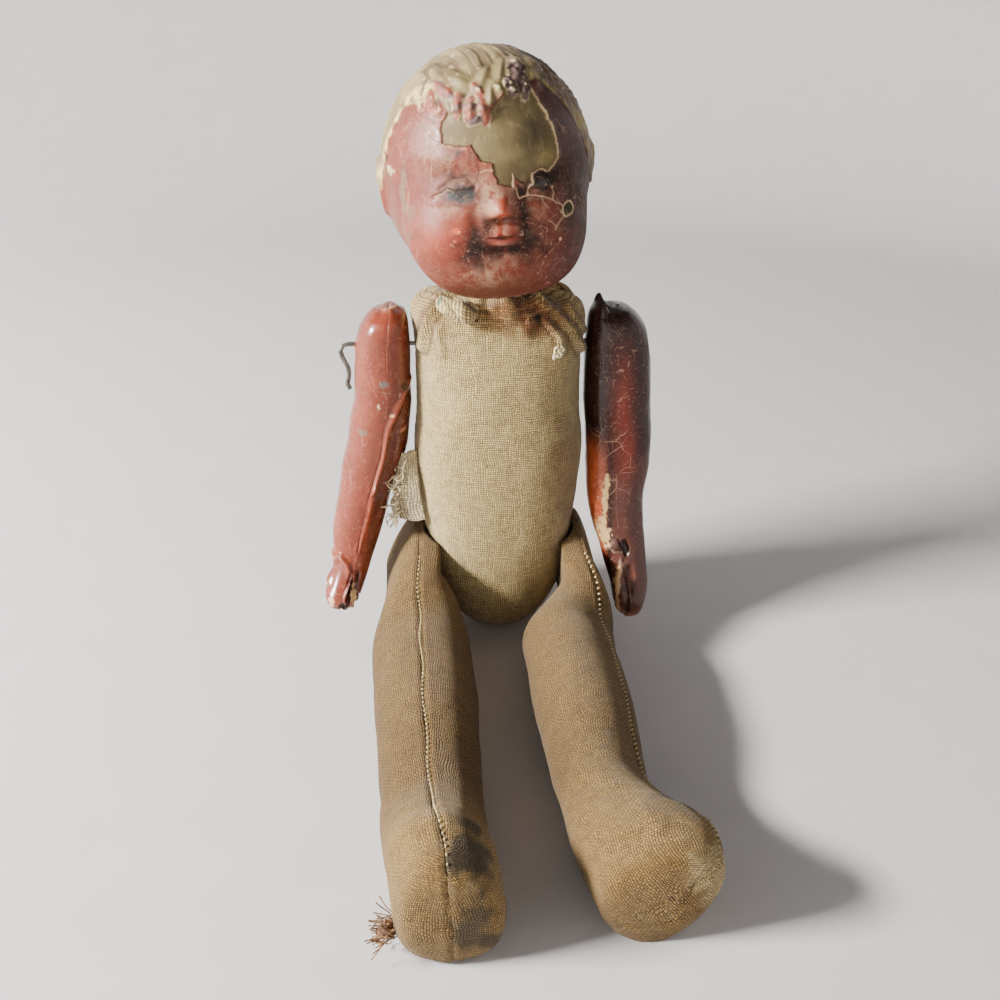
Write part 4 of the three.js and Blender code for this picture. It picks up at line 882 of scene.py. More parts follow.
for word, leg in legs.items():
    side, length = leg["side"], leg["length"]

    def form(share, angle, inset=0, leg=leg):
        return leg_form(leg, share, angle, inset)

    moves = swelling(form, 44, 28, 0.03, 1.0)
    down = np.linspace(0, 1, len(moves))[:, None, None]
    moves = moves * ramp(down, 0.2, 0.34) * ramp(down, 1, 0.93)
    reach = hip_radius + length
    shares = np.concatenate([np.linspace(0, 14 / reach, 16)[:-1], np.linspace(14 / reach, 1 - 4 / reach, 236),
                             np.linspace(1 - 4 / reach, 1, 12)[1:]])
    for panel_word, low, high in (("outer", -np.pi / 2, np.pi / 2), ("inner", np.pi / 2, 3 * np.pi / 2)):
        angle = np.linspace(low, high, 260)[None]
        share = shares[:, None]
        fine = form(share, angle) + spread(moves, share, angle)
        panel = even(fine, leg_columns)
        seam_line = (panel[:, :1] + panel[:, -1:]) / 2
        outer_way = (form(share[-1:], np.zeros((1, 1))) - form(share[-1:], np.full((1, 1), np.pi))) / 2
        seam_line[-1:] += leg["toe_seam"] * outer_way
        first = [panel[:1] + (seam_line[:1] - panel[:1]) * k + (0, 0.3 * k, 0) for k in (0.98, 0.5)]
        last = [panel[-1:] + (seam_line[-1:] - panel[-1:]) * k - (0, 0.25 * np.sin(k * 1.5), 0)
                for k in (0.25, 0.5, 0.75, 0.98)]
        panel = np.concatenate(first + [panel] + last)
        along = np.concatenate([[0, 0], shares, [1] * 4])
        axis = form(along[:, None], np.array([[0, np.pi]])).mean(1, keepdims=True)
        normal = normals_of(panel, axis)
        flat = cloth_lengths(panel, leg_columns // 2)
        from_edge = np.minimum(flat[..., 0] - flat[:, :1, 0], flat[:, -1:, 0] - flat[..., 0])
        # Over the toe the cloth keeps its straight run: one length follows the height and the other
        # goes on forward and in toward the seam.
        k = int(np.argmax(along > 1 - 7 / reach))
        turn = side * np.radians(leg["roll"])
        away = panel - axis[k, 0]
        sideways = np.abs(away[..., 0] * np.cos(turn) - away[..., 2] * np.sin(turn))
        high = away[..., 0] * np.sin(turn) + away[..., 2] * np.cos(turn)
        order = np.argsort(high[k])
        wide = np.interp(high[k:], high[k][order], sideways[k][order])
        run = flat.copy()
        run[k:, :, 0] = np.interp(high[k:], high[k][order], flat[k, order, 0])
        run[k:, :, 1] = flat[k, :1, 1] + panel[k, :, 1] - panel[k:, :, 1] + np.maximum(0, wide - sideways[k:])
        loose = ramp(along, 0.1, 0.3)[:, None]
        toe_end = ramp(-panel[..., 1], length - 14, length - 4)
        tuck = 0.15 * ridge(from_edge - 1.5, 0.9) - (0.4 - 0.3 * toe_end) * ridge(from_edge, 0.8)
        pucker = 0.14 * np.sin(flat[..., 1] * 3.6) * np.exp(-from_edge / 1.6)
        lumps = 0.4 * clouds(panel, 15, leg["seed"]) + 0.14 * clouds(panel, 5, leg["seed"] + 1)
        instep = ridge(panel[..., 1] + length - 24, 7) * ramp(panel[..., 2], 12, 22)
        creases = 0.45 * instep * clouds(panel * (0.4, 2.2, 1), 5, leg["seed"] + 2)
        panel = panel + normal * ((tuck + pucker + lumps + creases) * (0.15 + 0.85 * loose))[..., None]
        panel[..., 2] = np.maximum(panel[..., 2], 0.02)
        name = f"{word}_leg_{panel_word}_stocking"
        piece = build(name, panel, grid_quads(*panel.shape[:2]), uv=run, paint=leg_paint(panel, leg),
                      outward=axis.mean((0, 1)))
        wall = piece.modifiers.new("cloth_wall", "SOLIDIFY")
        wall.thickness = cloth_thickness * MM
        wall.offset = -1
        piece.data.materials.append(stocking)
        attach(piece, word + "_leg")
        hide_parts(f"{word}_leg_{panel_word}_panel")

    stuff(f"{word}_leg_wadding", lambda share, angle: form(0.02 + 0.96 * share, angle, 1.9), 60, 36,
          word + "_leg", f"{word}_leg_stuffing")

    # Seam stitches: short cream stitches sunk into the top seam, one after another down to the toe.
    pitch, stitch = 1.6, 0.3
    seam_shares = (hip_radius + np.arange(20, length - 1.2, pitch)) / reach
    wander = np.radians(0.8 * np.sin(seam_shares * 40) + 90)
    middle = form(seam_shares, wander) + spread(moves, seam_shares, wander)
    ahead_on = np.gradient(middle, axis=0)
    ahead_on /= np.linalg.norm(ahead_on, axis=-1, keepdims=True)
    out = middle - form(seam_shares, wander, 2.0)
    out -= (out * ahead_on).sum(-1, keepdims=True) * ahead_on
    out /= np.linalg.norm(out, axis=-1, keepdims=True)
    steps = np.array([-0.5, -0.44, -0.25, 0, 0.25, 0.44, 0.5])
    arch = np.array([-0.45, -0.05, 0.12, 0.18, 0.12, -0.05, -0.45])
    draw = np.random.default_rng(leg["seed"])
    slant = np.cross(ahead_on, out) * draw.normal(0.12, 0.1, (len(middle), 1))
    lay_along = ahead_on + slant
    paths = (middle[:, None] + lay_along[:, None] * (steps * stitch)[None, :, None]
             + out[:, None] * arch[None, :, None])
    thick = np.array([0.5, 0.85, 1, 1, 1, 0.85, 0.5]) * 0.26
    piece = build(f"{word}_leg_seam_stitches", *tubes(paths, thick[None], 6))
    piece.data.materials.append(straw_thread)
    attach(piece, word + "_leg")
    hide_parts(f"{word}_leg_seam_thread")

# Heel tuft: a frayed end of the brown seam cloth that sticks out low at the right foot.
draw, strands = np.random.default_rng(4), 70
root = np.array([-32.6, -138, 6.0]) + draw.normal(0, 1, (strands, 3)) * (0.4, 1.0, 1.3)
way = np.linspace(0, 1, 10)[None, :, None]
aim = np.array([-3.9, -1.6, 0.6]) + draw.normal(0, 1, (strands, 1, 3)) * (1.0, 1.6, 1.5)
curl = draw.normal(0, 0.5, (strands, 1, 3)) * np.sin(way * np.pi * draw.uniform(1, 2.2, (strands, 1, 1)))
tuft = root[:, None] + aim * way + curl
tuft[..., 2] = np.maximum(tuft[..., 2], 0.25)
piece = build("heel_frayed_tuft", *tubes(tuft, 0.16, 5))
piece.data.materials.append(spun("brown_fray", as_light(164, 122, 74), as_light(104, 66, 36), 1500))
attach(piece, "right_leg")
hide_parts("heel_tuft")

# Arms: composition pressed in an outer and an inner half and glued, painted glossy red-brown. The
# wire passes through both at the shoulder. The hands are worn: chipped tips and a lost thumb, with painted
# shade in their gaps and hollows.
wire_height, wire_back, arm_inside = 90.4, 4, 25.814
arms = {
    "right": {
        "side": -1, "length": 78.4, "width": 18,
        "inside": [(-1, 0), (.2, 0), (.3, .7), (.39, 1.6), (.46, 3.4), (.545, 6.2), (.69, 9.6), (.84, 13.8),
                   (1, 17.6)],
        "widths": [(-1, .72), (-.5, .83), (0, .9), (.19, .94), (.3, 1), (.43, 1.01), (.545, .9), (.69, .84),
                   (.83, .65), (.92, .66), (1, .5)],
        "forward": [(-1, 0), (0, 0), (.24, 1), (.43, 2.5), (.545, 5), (.69, 8.5), (.84, 13), (1, 18)]},
    "left": {
        "side": 1, "length": 82, "width": 20,
        "inside": [(-1, 0), (.2, 0), (.33, .8), (.39, 1), (.56, 1.3), (.67, 2.9), (.74, 4.9), (.81, 6.5),
                   (.87, 8), (.93, 9.4), (1, 10.6)],
        "widths": [(-1, .76), (-.5, .88), (0, .96), (.23, 1.01), (.45, .98), (.56, .88), (.67, .79),
                   (.74, .71), (.81, .65), (.88, .57), (1, .36)],
        "forward": [(-1, 0), (0, 0), (.24, 1), (.43, 3), (.545, 6), (.67, 10), (.8, 15), (1, 21)]},
}
arm_depths = [(-1, 1), (.24, .98), (.43, .95), (.6, .84), (.72, .68), (.82, .6), (.92, .62), (1, .4)]
arm_shrink = [(-1, .36), (-.94, .62), (-.75, .84), (-.45, .96), (-.1, 1), (.96, 1), (.985, .85), (1, .5)]


def arm_form(arm, share, across, back):
    """A point of the arm: a share of the way down from the wire, and a place across and back in its
    rounded-square section, each from -1 to 1."""
    half = curve(arm["widths"], share) * arm["width"] / 2
    depth = curve(arm_depths, share) * 9.8
    shrink = curve(arm_shrink, share)
    square = np.where((across < 0) & (share < 0), shrink + (1 - shrink) * 0.55, shrink)
    x = arm["side"] * (arm_inside + curve(arm["inside"], share) + half * (1 + across * square))
    y = wire_back - curve(arm["forward"], share) + back * depth * shrink
    z = wire_height - np.where(share < 0, share * 10.8, share * arm["length"])
    return np.stack(np.broadcast_arrays(x, y, z), -1)


def outline_depth(places, outline):
    """How far flat places lie inside a closed outline, below 0 outside it."""
    closed = np.concatenate([outline, outline[:1]]).astype(float)
    far, _ = to_path(places, closed)
    x, z = places[..., 0], places[..., 1]
    inside = np.zeros(x.shape, bool)
    for (x0, z0), (x1, z1) in zip(closed[:-1], closed[1:]):
        crosses = (z0 > z) != (z1 > z)
        inside ^= crosses & (x < (x1 - x0) * (z - z0) / (z1 - z0 + 1e-12) + x0)
    return np.where(inside, far, -far)


def dome(x, z, x0, z0, wide, high):
    """A soft oval rise of height 1."""
    return np.exp(-((x - x0) / wide) ** 2 - ((z - z0) / high) ** 2)


def shaken(flat, points, amount, size, seed, layers=1):
    """Flat places moved a little each way by clouds, so that an outline drawn on them is ragged."""
    return flat + amount * np.stack([clouds(points, size, seed, layers),
                                     clouds(points, size, seed + 1, layers)], -1)


terracotta = as_light(128, 57, 38)
terracotta_in_painted_shade = as_light(40, 10, 7)
ember = as_light(172, 70, 38)
cream_ground = as_light(214, 188, 140)
bare_wood = as_light(120, 104, 70)
dust = as_light(160, 126, 102)


def composition(name):
    """Painted composition: mottled glossy paint with pale hairline scratches, a crazed crack network
    and specks of dust; wear gives roughness, crazing and scratching from 0 to 1."""
    skin = Finish(name)
    place = skin.add("TexCoord", {}, {}, out="Object")
    paint = skin.add("Attribute", {"attribute_name": "paint"}, {}, out="Color")
    wear = skin.add("Attribute", {"attribute_name": "wear"}, {}, out="Color")
    base_rough = skin.add("SeparateColor", {}, {0: wear})
    crazed = Reading(skin, base_rough.socket.node.outputs[1])
    scratched = Reading(skin, base_rough.socket.node.outputs[2])
    mottle = skin.noise(place, 260, 4, 0.6)
    patchy = skin.noise(place, 110, 2)
    bent = skin.add("VectorMath", {"operation": "MULTIPLY_ADD"},
                    {0: skin.add("TexNoise", {}, {"Vector": place, "Scale": 160, "Detail": 1}, out="Color"),
                     1: (0.004, 0.004, 0.004), 2: place})
    net = skin.add("TexVoronoi", {"feature": "DISTANCE_TO_EDGE"}, {"Vector": bent, "Scale": 190})
    fine_net = skin.add("TexVoronoi", {"feature": "DISTANCE_TO_EDGE"}, {"Vector": bent, "Scale": 420})
    cracks = net.step(0.016, 0.004) * crazed * patchy.step(0.42, 0.6)
    cracks = cracks.maths("MAXIMUM", fine_net.step(0.022, 0.006) * crazed * patchy.step(0.5, 0.64) * 0.6)
    apart = skin.add("SeparateXYZ", {}, {0: place})
    px, py, pz = (Reading(skin, apart.socket.node.outputs[k]) for k in range(3))
    # Each set of hairline scratches: the cosine and sine of its slant, its scale and its level.
    scratches = ((1.0, 0.0, 150, 0.5), (0.8, 0.6, 190, 0.47), (0.75, -0.66, 170, 0.53),
                 (0.2, 0.98, 160, 0.5))
    hairs = 0
    for cos, sin, scale, middle in scratches:
        turned = skin.add("CombineXYZ", {}, {0: px * cos + pz * sin, 1: py,
                                             2: (pz * cos - px * sin) * 0.16})
        some = skin.noise(place, 150 + 900 * abs(sin), 1).step(0.50, 0.60)
        hairs = hairs + (skin.noise(turned, scale, 1) - middle).maths("ABSOLUTE").step(0.006, 0.0012) * some
    hairs = (hairs * scratched).maths("MINIMUM", 1)
    specks = skin.noise(place, 1500, 1).step(0.68, 0.76) * scratched
    frost = skin.noise(place, 700, 3, 0.7).step(0.52, 0.72) * scratched
    deeper = skin.mix(1.0, paint, (0.5, 0.46, 0.46), "MULTIPLY")
    colour = skin.mix(mottle.step(0.35, 0.7, 0.38, 0), paint, deeper)
    colour = skin.mix(frost * 0.10, colour, as_light(198, 160, 134))
    colour = skin.mix(hairs * 0.36, colour, as_light(214, 172, 144))
    colour = skin.mix(specks * 0.28, colour, as_light(206, 170, 140))
    colour = skin.mix(cracks * 0.6, colour, as_light(208, 166, 134))
    peel = skin.noise(place, 420, 2)
    relief = peel * 0.16 + mottle * 0.10 - cracks * 0.5 - hairs * 0.15
    rough = base_rough + mottle.step(0.3, 0.8, -0.03, 0.10) + hairs * 0.2 + specks * 0.2
    return skin.surface(colour, rough, relief, 0.12, Coat_Weight=base_rough.step(0.3, 0.5, 0.3, 0),
                        Coat_Roughness=0.16, Specular_IOR_Level=0.24)


painted_skin = composition("painted_composition")


right_ridge = [(-26.6, 81), (-29.2, 75.2), (-32.7, 67.7), (-35.7, 55.1), (-37.7, 49.4)]
right_cuff = [(-53.8, 21), (-52.6, 25), (-50.6, 28), (-48.4, 28.6), (-46.4, 26.4), (-45.2, 23.4)]
right_gaps = [([(-45.4, 23.5), (-46.3, 17), (-46.9, 10)], 0.75, 1.7),
              ([(-43.3, 24), (-43.9, 17), (-44.3, 10)], 0.6, 1.1)]
left_hollow = np.array([(37.4, 25.6), (40.4, 26), (41.4, 21), (40.2, 15), (38.2, 8), (36.6, 9.5), (36.3, 13),
                        (36.3, 17), (36.7, 21.5)])
left_lip = [(37.2, 27.5), (36.3, 24.6), (35.4, 20.8), (35.4, 17), (35.7, 13), (36.6, 8)]


def arm_relief(points, side):
    """Small forms of an arm's face: the raised mould line with its groove and end bump; on the right
    hand the cuff over a sunk palm and the gaps between stubby fingers, and on the left hand the stub
    of the lost thumb and the hollow behind the finger's edge."""
    flat, front = points[..., [0, 2]], ramp(-points[..., 1], -6, -1)
    lift = 0.10 * clouds(points, 7, 3) + 0.05 * clouds(points, 2.5, 4)
    if side < 0:
        far, hand = to_path(flat, right_ridge)
        lift += front * (0.75 * ridge(far, 0.9) - 0.35 * ridge(far - 1.9, 0.9) * (hand > 0))
        low, _ = to_path(flat, [(-37.9, 48), (-39.6, 40), (-43, 31)])
        lift += front * 0.35 * ridge(low, 0.9)
        lift += front * 0.7 * ridge(np.hypot(flat[..., 0] + 37.8, flat[..., 1] - 49.0), 1.2)
        cuff, inside = to_path(flat, right_cuff)
        lift += front * 0.9 * ridge(cuff, 0.9)
        palm = (inside < 0) * ramp(cuff, 0.6, 1.8) * ramp(flat[..., 1], 13, 20)
        lift -= front * 0.9 * palm
        for gap, width, depth in right_gaps:
            lift -= front * depth * ridge(to_path(flat, gap)[0], width)
        broken = np.hypot((flat[..., 0] + 48.2) / 1.5, (flat[..., 1] - 13.4) / 2.4)
        lift -= front * 1.5 * ramp(broken + 0.3 * clouds(points, 1.2, 5), 1.1, 0.6)
        lift += 0.4 * clouds(points, 1.3, 6, 2) * ramp(flat[..., 1], 16.5, 13)
    else:
        stub = np.hypot(flat[..., 0] - 35.4, flat[..., 1] - 31.4)
        beside = np.hypot((flat[..., 0] - 37.8) / 1.5, (flat[..., 1] - 30.2) / 2.6)
        lift += front * (1.2 * ramp(stub, 2.0, 0.8) - 1.1 * ramp(beside, 1.2, 0.5) * ramp(stub, 1.4, 2.0))
        far, _ = to_path(flat, [(31, 50), (30, 38), (33, 29)])
        lift += front * 0.22 * clouds(points, 1.2, 9, 2) * ramp(far, 3, 1)
        hollow = outline_depth(shaken(flat, points, 0.4, 1.6, 31), left_hollow)
        lift -= front * 0.8 * ramp(hollow, -0.1, 1.8)
        lift += front * (0.6 + 0.3 * clouds(points, 1.1, 33)) * ridge(to_path(flat, left_lip)[0], 0.7)
    return lift


def arm_paint(points, side):
    """Paint and wear of an arm: red-brown, darker and redder in painted shade, grime and painted shade beside
    the mould line, painted shade in the hands' gaps and hollows, with grey and cream chips, a worn cuff and
    bare tips."""
    flat, front = points[..., [0, 2]], (points[..., 1] < 3) * 1.0
    # The left arm's paint is the red-brown darkened as painted shade, for the arm away from the light.
    base = terracotta if side < 0 else terracotta_in_painted_shade
    paint = np.broadcast_to(base, points.shape).copy()
    paint = lay(paint, 0.35 + 0.5 * clouds(points, 18, 5, 3), base * 0.82)
    rough = (0.24 if side < 0 else 0.33) + 0.05 * clouds(points, 9, 6)
    crazed = np.full(rough.shape, 0.12)
    scratched = 0.55 + 0.4 * clouds(points, 14, 8)
    grit = ramp(clouds(points, 0.7, 15), -0.1, 0.5)

    def chip(x, z, wide, high, colour, seed, amount=0.95):
        nonlocal paint, rough
        away = np.hypot((flat[..., 0] - x) / wide, (flat[..., 1] - z) / high)
        mask = front * ramp(away + 0.45 * clouds(points, min(wide, high) * 0.7, seed), 1.0, 0.75) * amount
        paint, rough = lay(paint, mask, colour), rough + (0.75 - rough) * mask

    if side < 0:
        far, _ = to_path(flat, right_ridge + [(-41, 34)])
        # The inner face, past the mould line toward the torso, is painted dark brown as painted shade.
        edge_x, edge_z = np.array([(-41, 34)] + right_ridge[::-1] + [(-22, 92)]).T
        line = np.interp(flat[..., 1], edge_z, edge_x)
        beyond = front * ramp(flat[..., 0] - line, 0.2, 1.2)
        paint = lay(paint, 0.85 * beyond * (0.75 + 0.3 * clouds(points, 4, 26)), as_light(80, 36, 25))
        # Beside the mould line on the outer side the paint is grey-brown with grit: grime and painted shade.
        shade = front * ramp(line - flat[..., 0], 7, 0.4) * (flat[..., 0] < line) * ramp(flat[..., 1], 44, 60)
        paint = lay(paint, shade * (0.25 + 0.5 * grit), as_light(82, 50, 40))
        rough = rough + shade * 0.15
        paint = lay(paint, front * 0.35 * ridge(far, 0.6), ember)
        wrist = ramp(points[..., 0], -44, -52) * ramp(points[..., 2], 62, 40)
        paint = lay(paint, 0.4 * wrist, as_light(156, 78, 56))
        for x, z, wide, high, colour, seed in (
                (-33.6, 81.5, 1.3, 0.9, as_light(104, 98, 92), 1),
                (-40.3, 66.5, 1.6, 0.9, as_light(112, 96, 84), 2),
                (-27.6, 80.2, 1.3, 1.5, as_light(74, 56, 34), 3),
                (-28.5, 66.5, 1.0, 0.8, as_light(180, 120, 90), 4),
                (-35.4, 74.8, 0.45, 0.8, as_light(224, 190, 150), 5),
                (-31.5, 72, 0.7, 0.45, as_light(214, 170, 134), 6)):
            chip(x, z, wide, high, colour, seed)
        cuff, inside = to_path(flat, right_cuff)
        palm = front * (inside < 0) * ramp(cuff, 0.4, 1.6) * ramp(points[..., 2], 11, 15)
        paint = lay(paint, 0.5 * palm, as_light(112, 56, 46))
        worn = ridge(to_path(flat, right_cuff[:3])[0], 0.5) * ramp(clouds(points, 0.9, 7), -0.5, 0.1)
        paint = lay(paint, front * worn, as_light(206, 150, 96))
        # The gaps between the fingers are painted dark as painted shade.
        for gap, width, _ in right_gaps:
            paint = lay(paint, front * 0.85 * ridge(to_path(flat, gap)[0], width * 0.8), as_light(46, 24, 20))
        inner_hand = front * ramp(points[..., 0], -45.4, -43.6) * ramp(points[..., 2], 26, 20)
        paint = lay(paint, 0.7 * inner_hand, as_light(78, 28, 24))
        chip(-45.0, 16.5, 0.9, 2.6, as_light(216, 186, 130), 21)
        chip(-44.8, 20.5, 0.7, 1.0, as_light(214, 178, 130), 22)
        chip(-51.6, 15.6, 0.9, 1.8, as_light(220, 178, 140), 23)
        broken = np.hypot((flat[..., 0] + 48.2) / 1.5, (flat[..., 1] - 13.4) / 2.4)
        ragged = broken + 0.3 * clouds(points, 1.2, 5)
        paint = lay(paint, front * ramp(ragged, 1.1, 0.7), as_light(52, 32, 20))
        tips = 0.9 * ramp(points[..., 2] + clouds(points, 1.2, 11, 2), 14.6, 12.8) * ramp(broken, 0.7, 1.1)
    else:
        line, _ = to_path(flat, [(33.1, 66), (33.6, 53.7), (33.5, 44.8), (33.1, 36), (34, 30)])
        beyond = front * ramp(points[..., 0], 33.2, 34.4) * ramp(points[..., 2], 62, 50)
        paint = lay(paint, 0.75 * beyond, as_light(92, 50, 40))
        # Along the mould line on the inner upper arm the paint is dark with grit: grime and painted shade.
        near = front * ramp(line + 0.8 * clouds(points, 1.5, 3), 2.2, 0.3) * ramp(points[..., 2], 70, 58)
        paint = lay(paint, 0.9 * near * (0.4 + 0.6 * grit), as_light(48, 38, 34))
        rough = rough + 0.35 * near
        band = front * dome(points[..., 0], points[..., 2], 36.5, 74, 3.4, 15)
        band = band + front * dome(points[..., 0], points[..., 2], 38.5, 58, 3, 8)
        paint = lay(paint, 0.8 * band, as_light(108, 34, 17))
        inner = ramp(points[..., 0], 33.2, 30) * ramp(points[..., 2], 66, 54)
        paint = lay(paint, 0.85 * inner, as_light(196, 92, 52))
        below = ramp(points[..., 2], 76, 60) * ramp(np.abs(points[..., 0] - 33), 9, 3)
        crazed = crazed + 0.7 * front * below
        flake, _ = to_path(flat, [(32.6, 52), (31.9, 46), (31.6, 41), (31.9, 36), (33, 31)])
        flaw = clouds(points, 0.9, 5, 3)
        wrist = np.hypot((flat[..., 0] - 30.8) / 2.2, (flat[..., 1] - 35) / 4)
        bare = np.maximum(ramp(flake + 0.8 * flaw, 0.75, 0.4), ramp(wrist + 0.9 * flaw, 0.9, 0.6)) * front
        paint = lay(paint, bare * 0.95, as_light(206, 172, 116))
        rough = rough + 0.45 * bare
        stub = np.hypot(flat[..., 0] - 35.4, flat[..., 1] - 31.4)
        # A dark crescent beside the thumb's stub is painted shade.
        beside = np.hypot((flat[..., 0] - 37.9) / 1.9, (flat[..., 1] - 30.0) / 3.0)
        pit = ramp(beside + 0.2 * clouds(points, 1.5, 6), 1.0, 0.5)
        paint = lay(paint, front * 0.9 * pit, as_light(44, 28, 24))
        paint = lay(paint, front * 0.8 * ramp(stub, 2.1, 1.4), as_light(74, 46, 40))
        # The hollow behind the finger's edge is painted dark brown as painted shade, with brown streaks in
        # it.
        hollow = outline_depth(shaken(flat, points, 0.4, 1.6, 31), left_hollow)
        streak = ramp(clouds(points * (1, 1, 0.3), 0.9, 34, 2), -0.2, 0.6)
        paint = lay(paint, front * 0.85 * ramp(hollow, -0.1, 0.6), as_light(76, 44, 32))
        paint = lay(paint, front * 0.75 * streak * ramp(hollow, 0, 0.5), as_light(118, 62, 44))
        lip, _ = to_path(flat, left_lip)
        lip_worn = ramp(lip + 0.6 * clouds(points, 1.0, 8, 2), 0.9, 0.4) * ramp(points[..., 2], 27, 25)
        paint = lay(paint, front * lip_worn, as_light(204, 160, 112))
        # The top of the shoulder and the outer side of the left arm are painted darker as painted shade.
        paint = lay(paint, 0.7 * ramp(points[..., 2], 94, 100), as_light(40, 18, 16))
        paint = lay(paint, 0.6 * ramp(points[..., 0], 44.5, 46.5), as_light(44, 18, 14))
        tips = 0.5 * ramp(points[..., 2] + 1.2 * clouds(points, 1.4, 11), 12.5, 9.5)
    paint = lay(paint, tips * 0.9, as_light(176, 128, 88))
    top = ramp(points[..., 2] + 0.7 * clouds(points, 1.0, 19, 2), 101.9, 102.3)
    paint = lay(paint, top * 0.9, as_light(178, 134, 108) if side < 0 else as_light(40, 26, 24))
    rough = rough + 0.4 * np.maximum(tips, top)
    return paint, np.stack([np.clip(rough, 0.18, 0.95), np.clip(crazed, 0, 1), np.clip(scratched, 0, 1)], -1)


seam_turn = np.pi / 2 + 0.1044
for word, arm in arms.items():
    side = arm["side"]
    share = np.concatenate([np.linspace(-1, -0.75, 26)[:-1], np.linspace(-0.75, 0.9, 350)[:-1],
                            np.linspace(0.9, 1, 34)])[:, None]
    for half_word, low, high in (("outer", -seam_turn, seam_turn),
                                 ("inner", seam_turn, 2 * np.pi - seam_turn)):
        angle = np.linspace(low, high, 240)[None]
        cos, sin = np.cos(angle), np.sin(angle)
        skin = even(arm_form(arm, share, np.sign(cos) * np.abs(cos) ** (2 / 2.3),
                             np.sign(sin) * np.abs(sin) ** (2 / 2.3)), arm_columns)
        centre = arm_form(arm, share, 0 * share - 0.14, 0 * share)
        normal = normals_of(skin, centre)
        lift = arm_relief(skin, side)
        if side > 0 and half_word == "outer":
            away = np.hypot(skin[..., 1] - wire_back, skin[..., 2] - wire_height)
            lift -= 2.6 * ramp(away, 5.3, 4.8) * (skin[..., 0] > 38)
        flat_edge = np.linspace(0, 1, arm_columns)
        lift *= np.minimum(1, np.minimum(flat_edge, 1 - flat_edge) * 30)[None]
        skin = skin + normal * lift[..., None]
        nub_place, nub_reach, nub_high = (-31.5, 3, 0.9) if side < 0 else (29.6, 2.2, 2.8)
        nub = ramp(share, -0.8, -1)[..., None] * ramp(np.abs(skin[..., :1] - nub_place), nub_reach, 0.2)
        skin = skin + nub * np.array([0, 0, nub_high])
        chord = skin[:, -1:] + (skin[:, :1] - skin[:, -1:]) * np.linspace(0, 1, 10)[None, 1:-1, None]
        rings = np.concatenate([skin, chord], 1)
        middle = rings.mean(1, keepdims=True)
        cap = [middle[:1] + (rings[:1] - middle[:1]) * k + (0, 0, 0.35 * (1 - k)) for k in (0.02, 0.5)]
        end = [middle[-1:] + (rings[-1:] - middle[-1:]) * k - (0, 0, 0.8 * (1 - k * k))
               for k in (0.75, 0.5, 0.02)]
        rings = np.concatenate(cap + [rings] + end)
        columns = rings.shape[1]
        paint, wear = arm_paint(rings, side)
        piece = build(f"{word}_arm_{half_word}_shell", rings, grid_quads(len(rings), columns, around=True),
                      end_fans(len(rings), columns), paint=paint, wear=wear)
        piece.data.materials.append(painted_skin)
        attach(piece, word + "_arm")
        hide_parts(f"{word}_arm_{half_word}_half")

# Head: a hollow composition egg pressed in a front and a back half, with modelled face, ears and low
# curls. The skin is painted red-brown over bare olive-brown composition, and the hair khaki.
head_middle = np.array([-3.6, neck_back, 141.0])
head_roll, head_turn = np.radians(-4), np.radians(5.5)
lean_matrix = np.array([[np.cos(head_roll), 0, np.sin(head_roll)],
                        [0, 1, 0],
                        [-np.sin(head_roll), 0, np.cos(head_roll)]])
turn_matrix = np.array([[np.cos(head_turn), -np.sin(head_turn), 0],
                        [np.sin(head_turn), np.cos(head_turn), 0],
                        [0, 0, 1]])
head_matrix = turn_matrix @ lean_matrix
face_shift = 1.6


def egg(way):
    """Distance from the head's middle to its plain egg surface along unit directions: a rounded box
    whose power grows and whose jaw drops below the eyes."""
    x, y, z = np.moveaxis(way, -1, 0)
    below = ramp(-z, 0, 0.5)
    jaw = ramp(-y, 0.4, 0.62) * below
    tall = np.where(z > 0, 31.5, 30 + 6 * jaw)
    power = 2 + below * (0.35 + 0.7 * jaw)
    return (np.abs(x / 28.7) ** power + np.abs(y / 31) ** power + np.abs(z / tall) ** power) ** (-1 / power)


# Outlines in the head's own frame: heights of the hairline at degrees round the head, then the edge of
# the lost paint, and each eye's upper lid with the fold above it, all as a side and a height.
hair_edge = [(-180, -16), (-120, -15), (-97, -7), (-86, 1), (-79, 9), (-74, 15), (-66, 19.5),
             (-55, 21.5), (-45, 21), (-32, 19.5), (-18, 18), (-8, 18.5), (-2, 20.5), (6, 21.5), (17, 21.5),
             (24, 22.5), (36, 23), (46, 19.6), (53, 13.3), (59, 5.7), (64, -2), (80, -7), (100, -10),
             (120, -15), (180, -16)]
bare_patch = np.array([
    (-11.3, 21.0), (-12.3, 18.2), (-14.6, 15.1), (-14.3, 13.4), (-14.2, 11.8), (-12.4, 11.7), (-9.8, 11.4),
    (-7.8, 11.6), (-7.0, 10.4), (-6.3, 8.0), (-4.1, 7.4), (-2.7, 6.9), (-2.4, 4.2), (-2.0, 2.0),
    (1.7, 1.1), (2.1, 2.6), (2.3, 4.2), (2.6, 3.4), (2.9, 2.8), (4.6, 1.5), (7.0, 1.4),
    (7.7, 3.5), (9.2, 4.5), (12.3, 3.6), (15.1, 6.0), (14.6, 8.5), (14.4, 11.4), (13.7, 14.3),
    (11.3, 18.7), (9.4, 21.5), (7.4, 21.4), (4.8, 20.8), (2.6, 21.5), (-0.4, 19.6), (-2.5, 18.0),
    (-5.4, 16.6), (-7.4, 16.7), (-7.3, 18.2), (-10.1, 19.1)])
right_lid = [(-17.7, -1.3), (-16.0, -0.4), (-14.4, 0.8), (-11.6, 0.8), (-7.9, 1.0)]
right_fold = [(-16.1, 0.9), (-13.3, 3.3), (-9.9, 3.8), (-7.6, 1.7)]
left_lid = [(5.8, -0.6), (8.0, -0.1), (10.5, -0.4), (13.2, -1.4)]
left_fold = [(5.6, 0.6), (7.6, 3.0), (10.8, 3.3), (14.2, 0.6)]
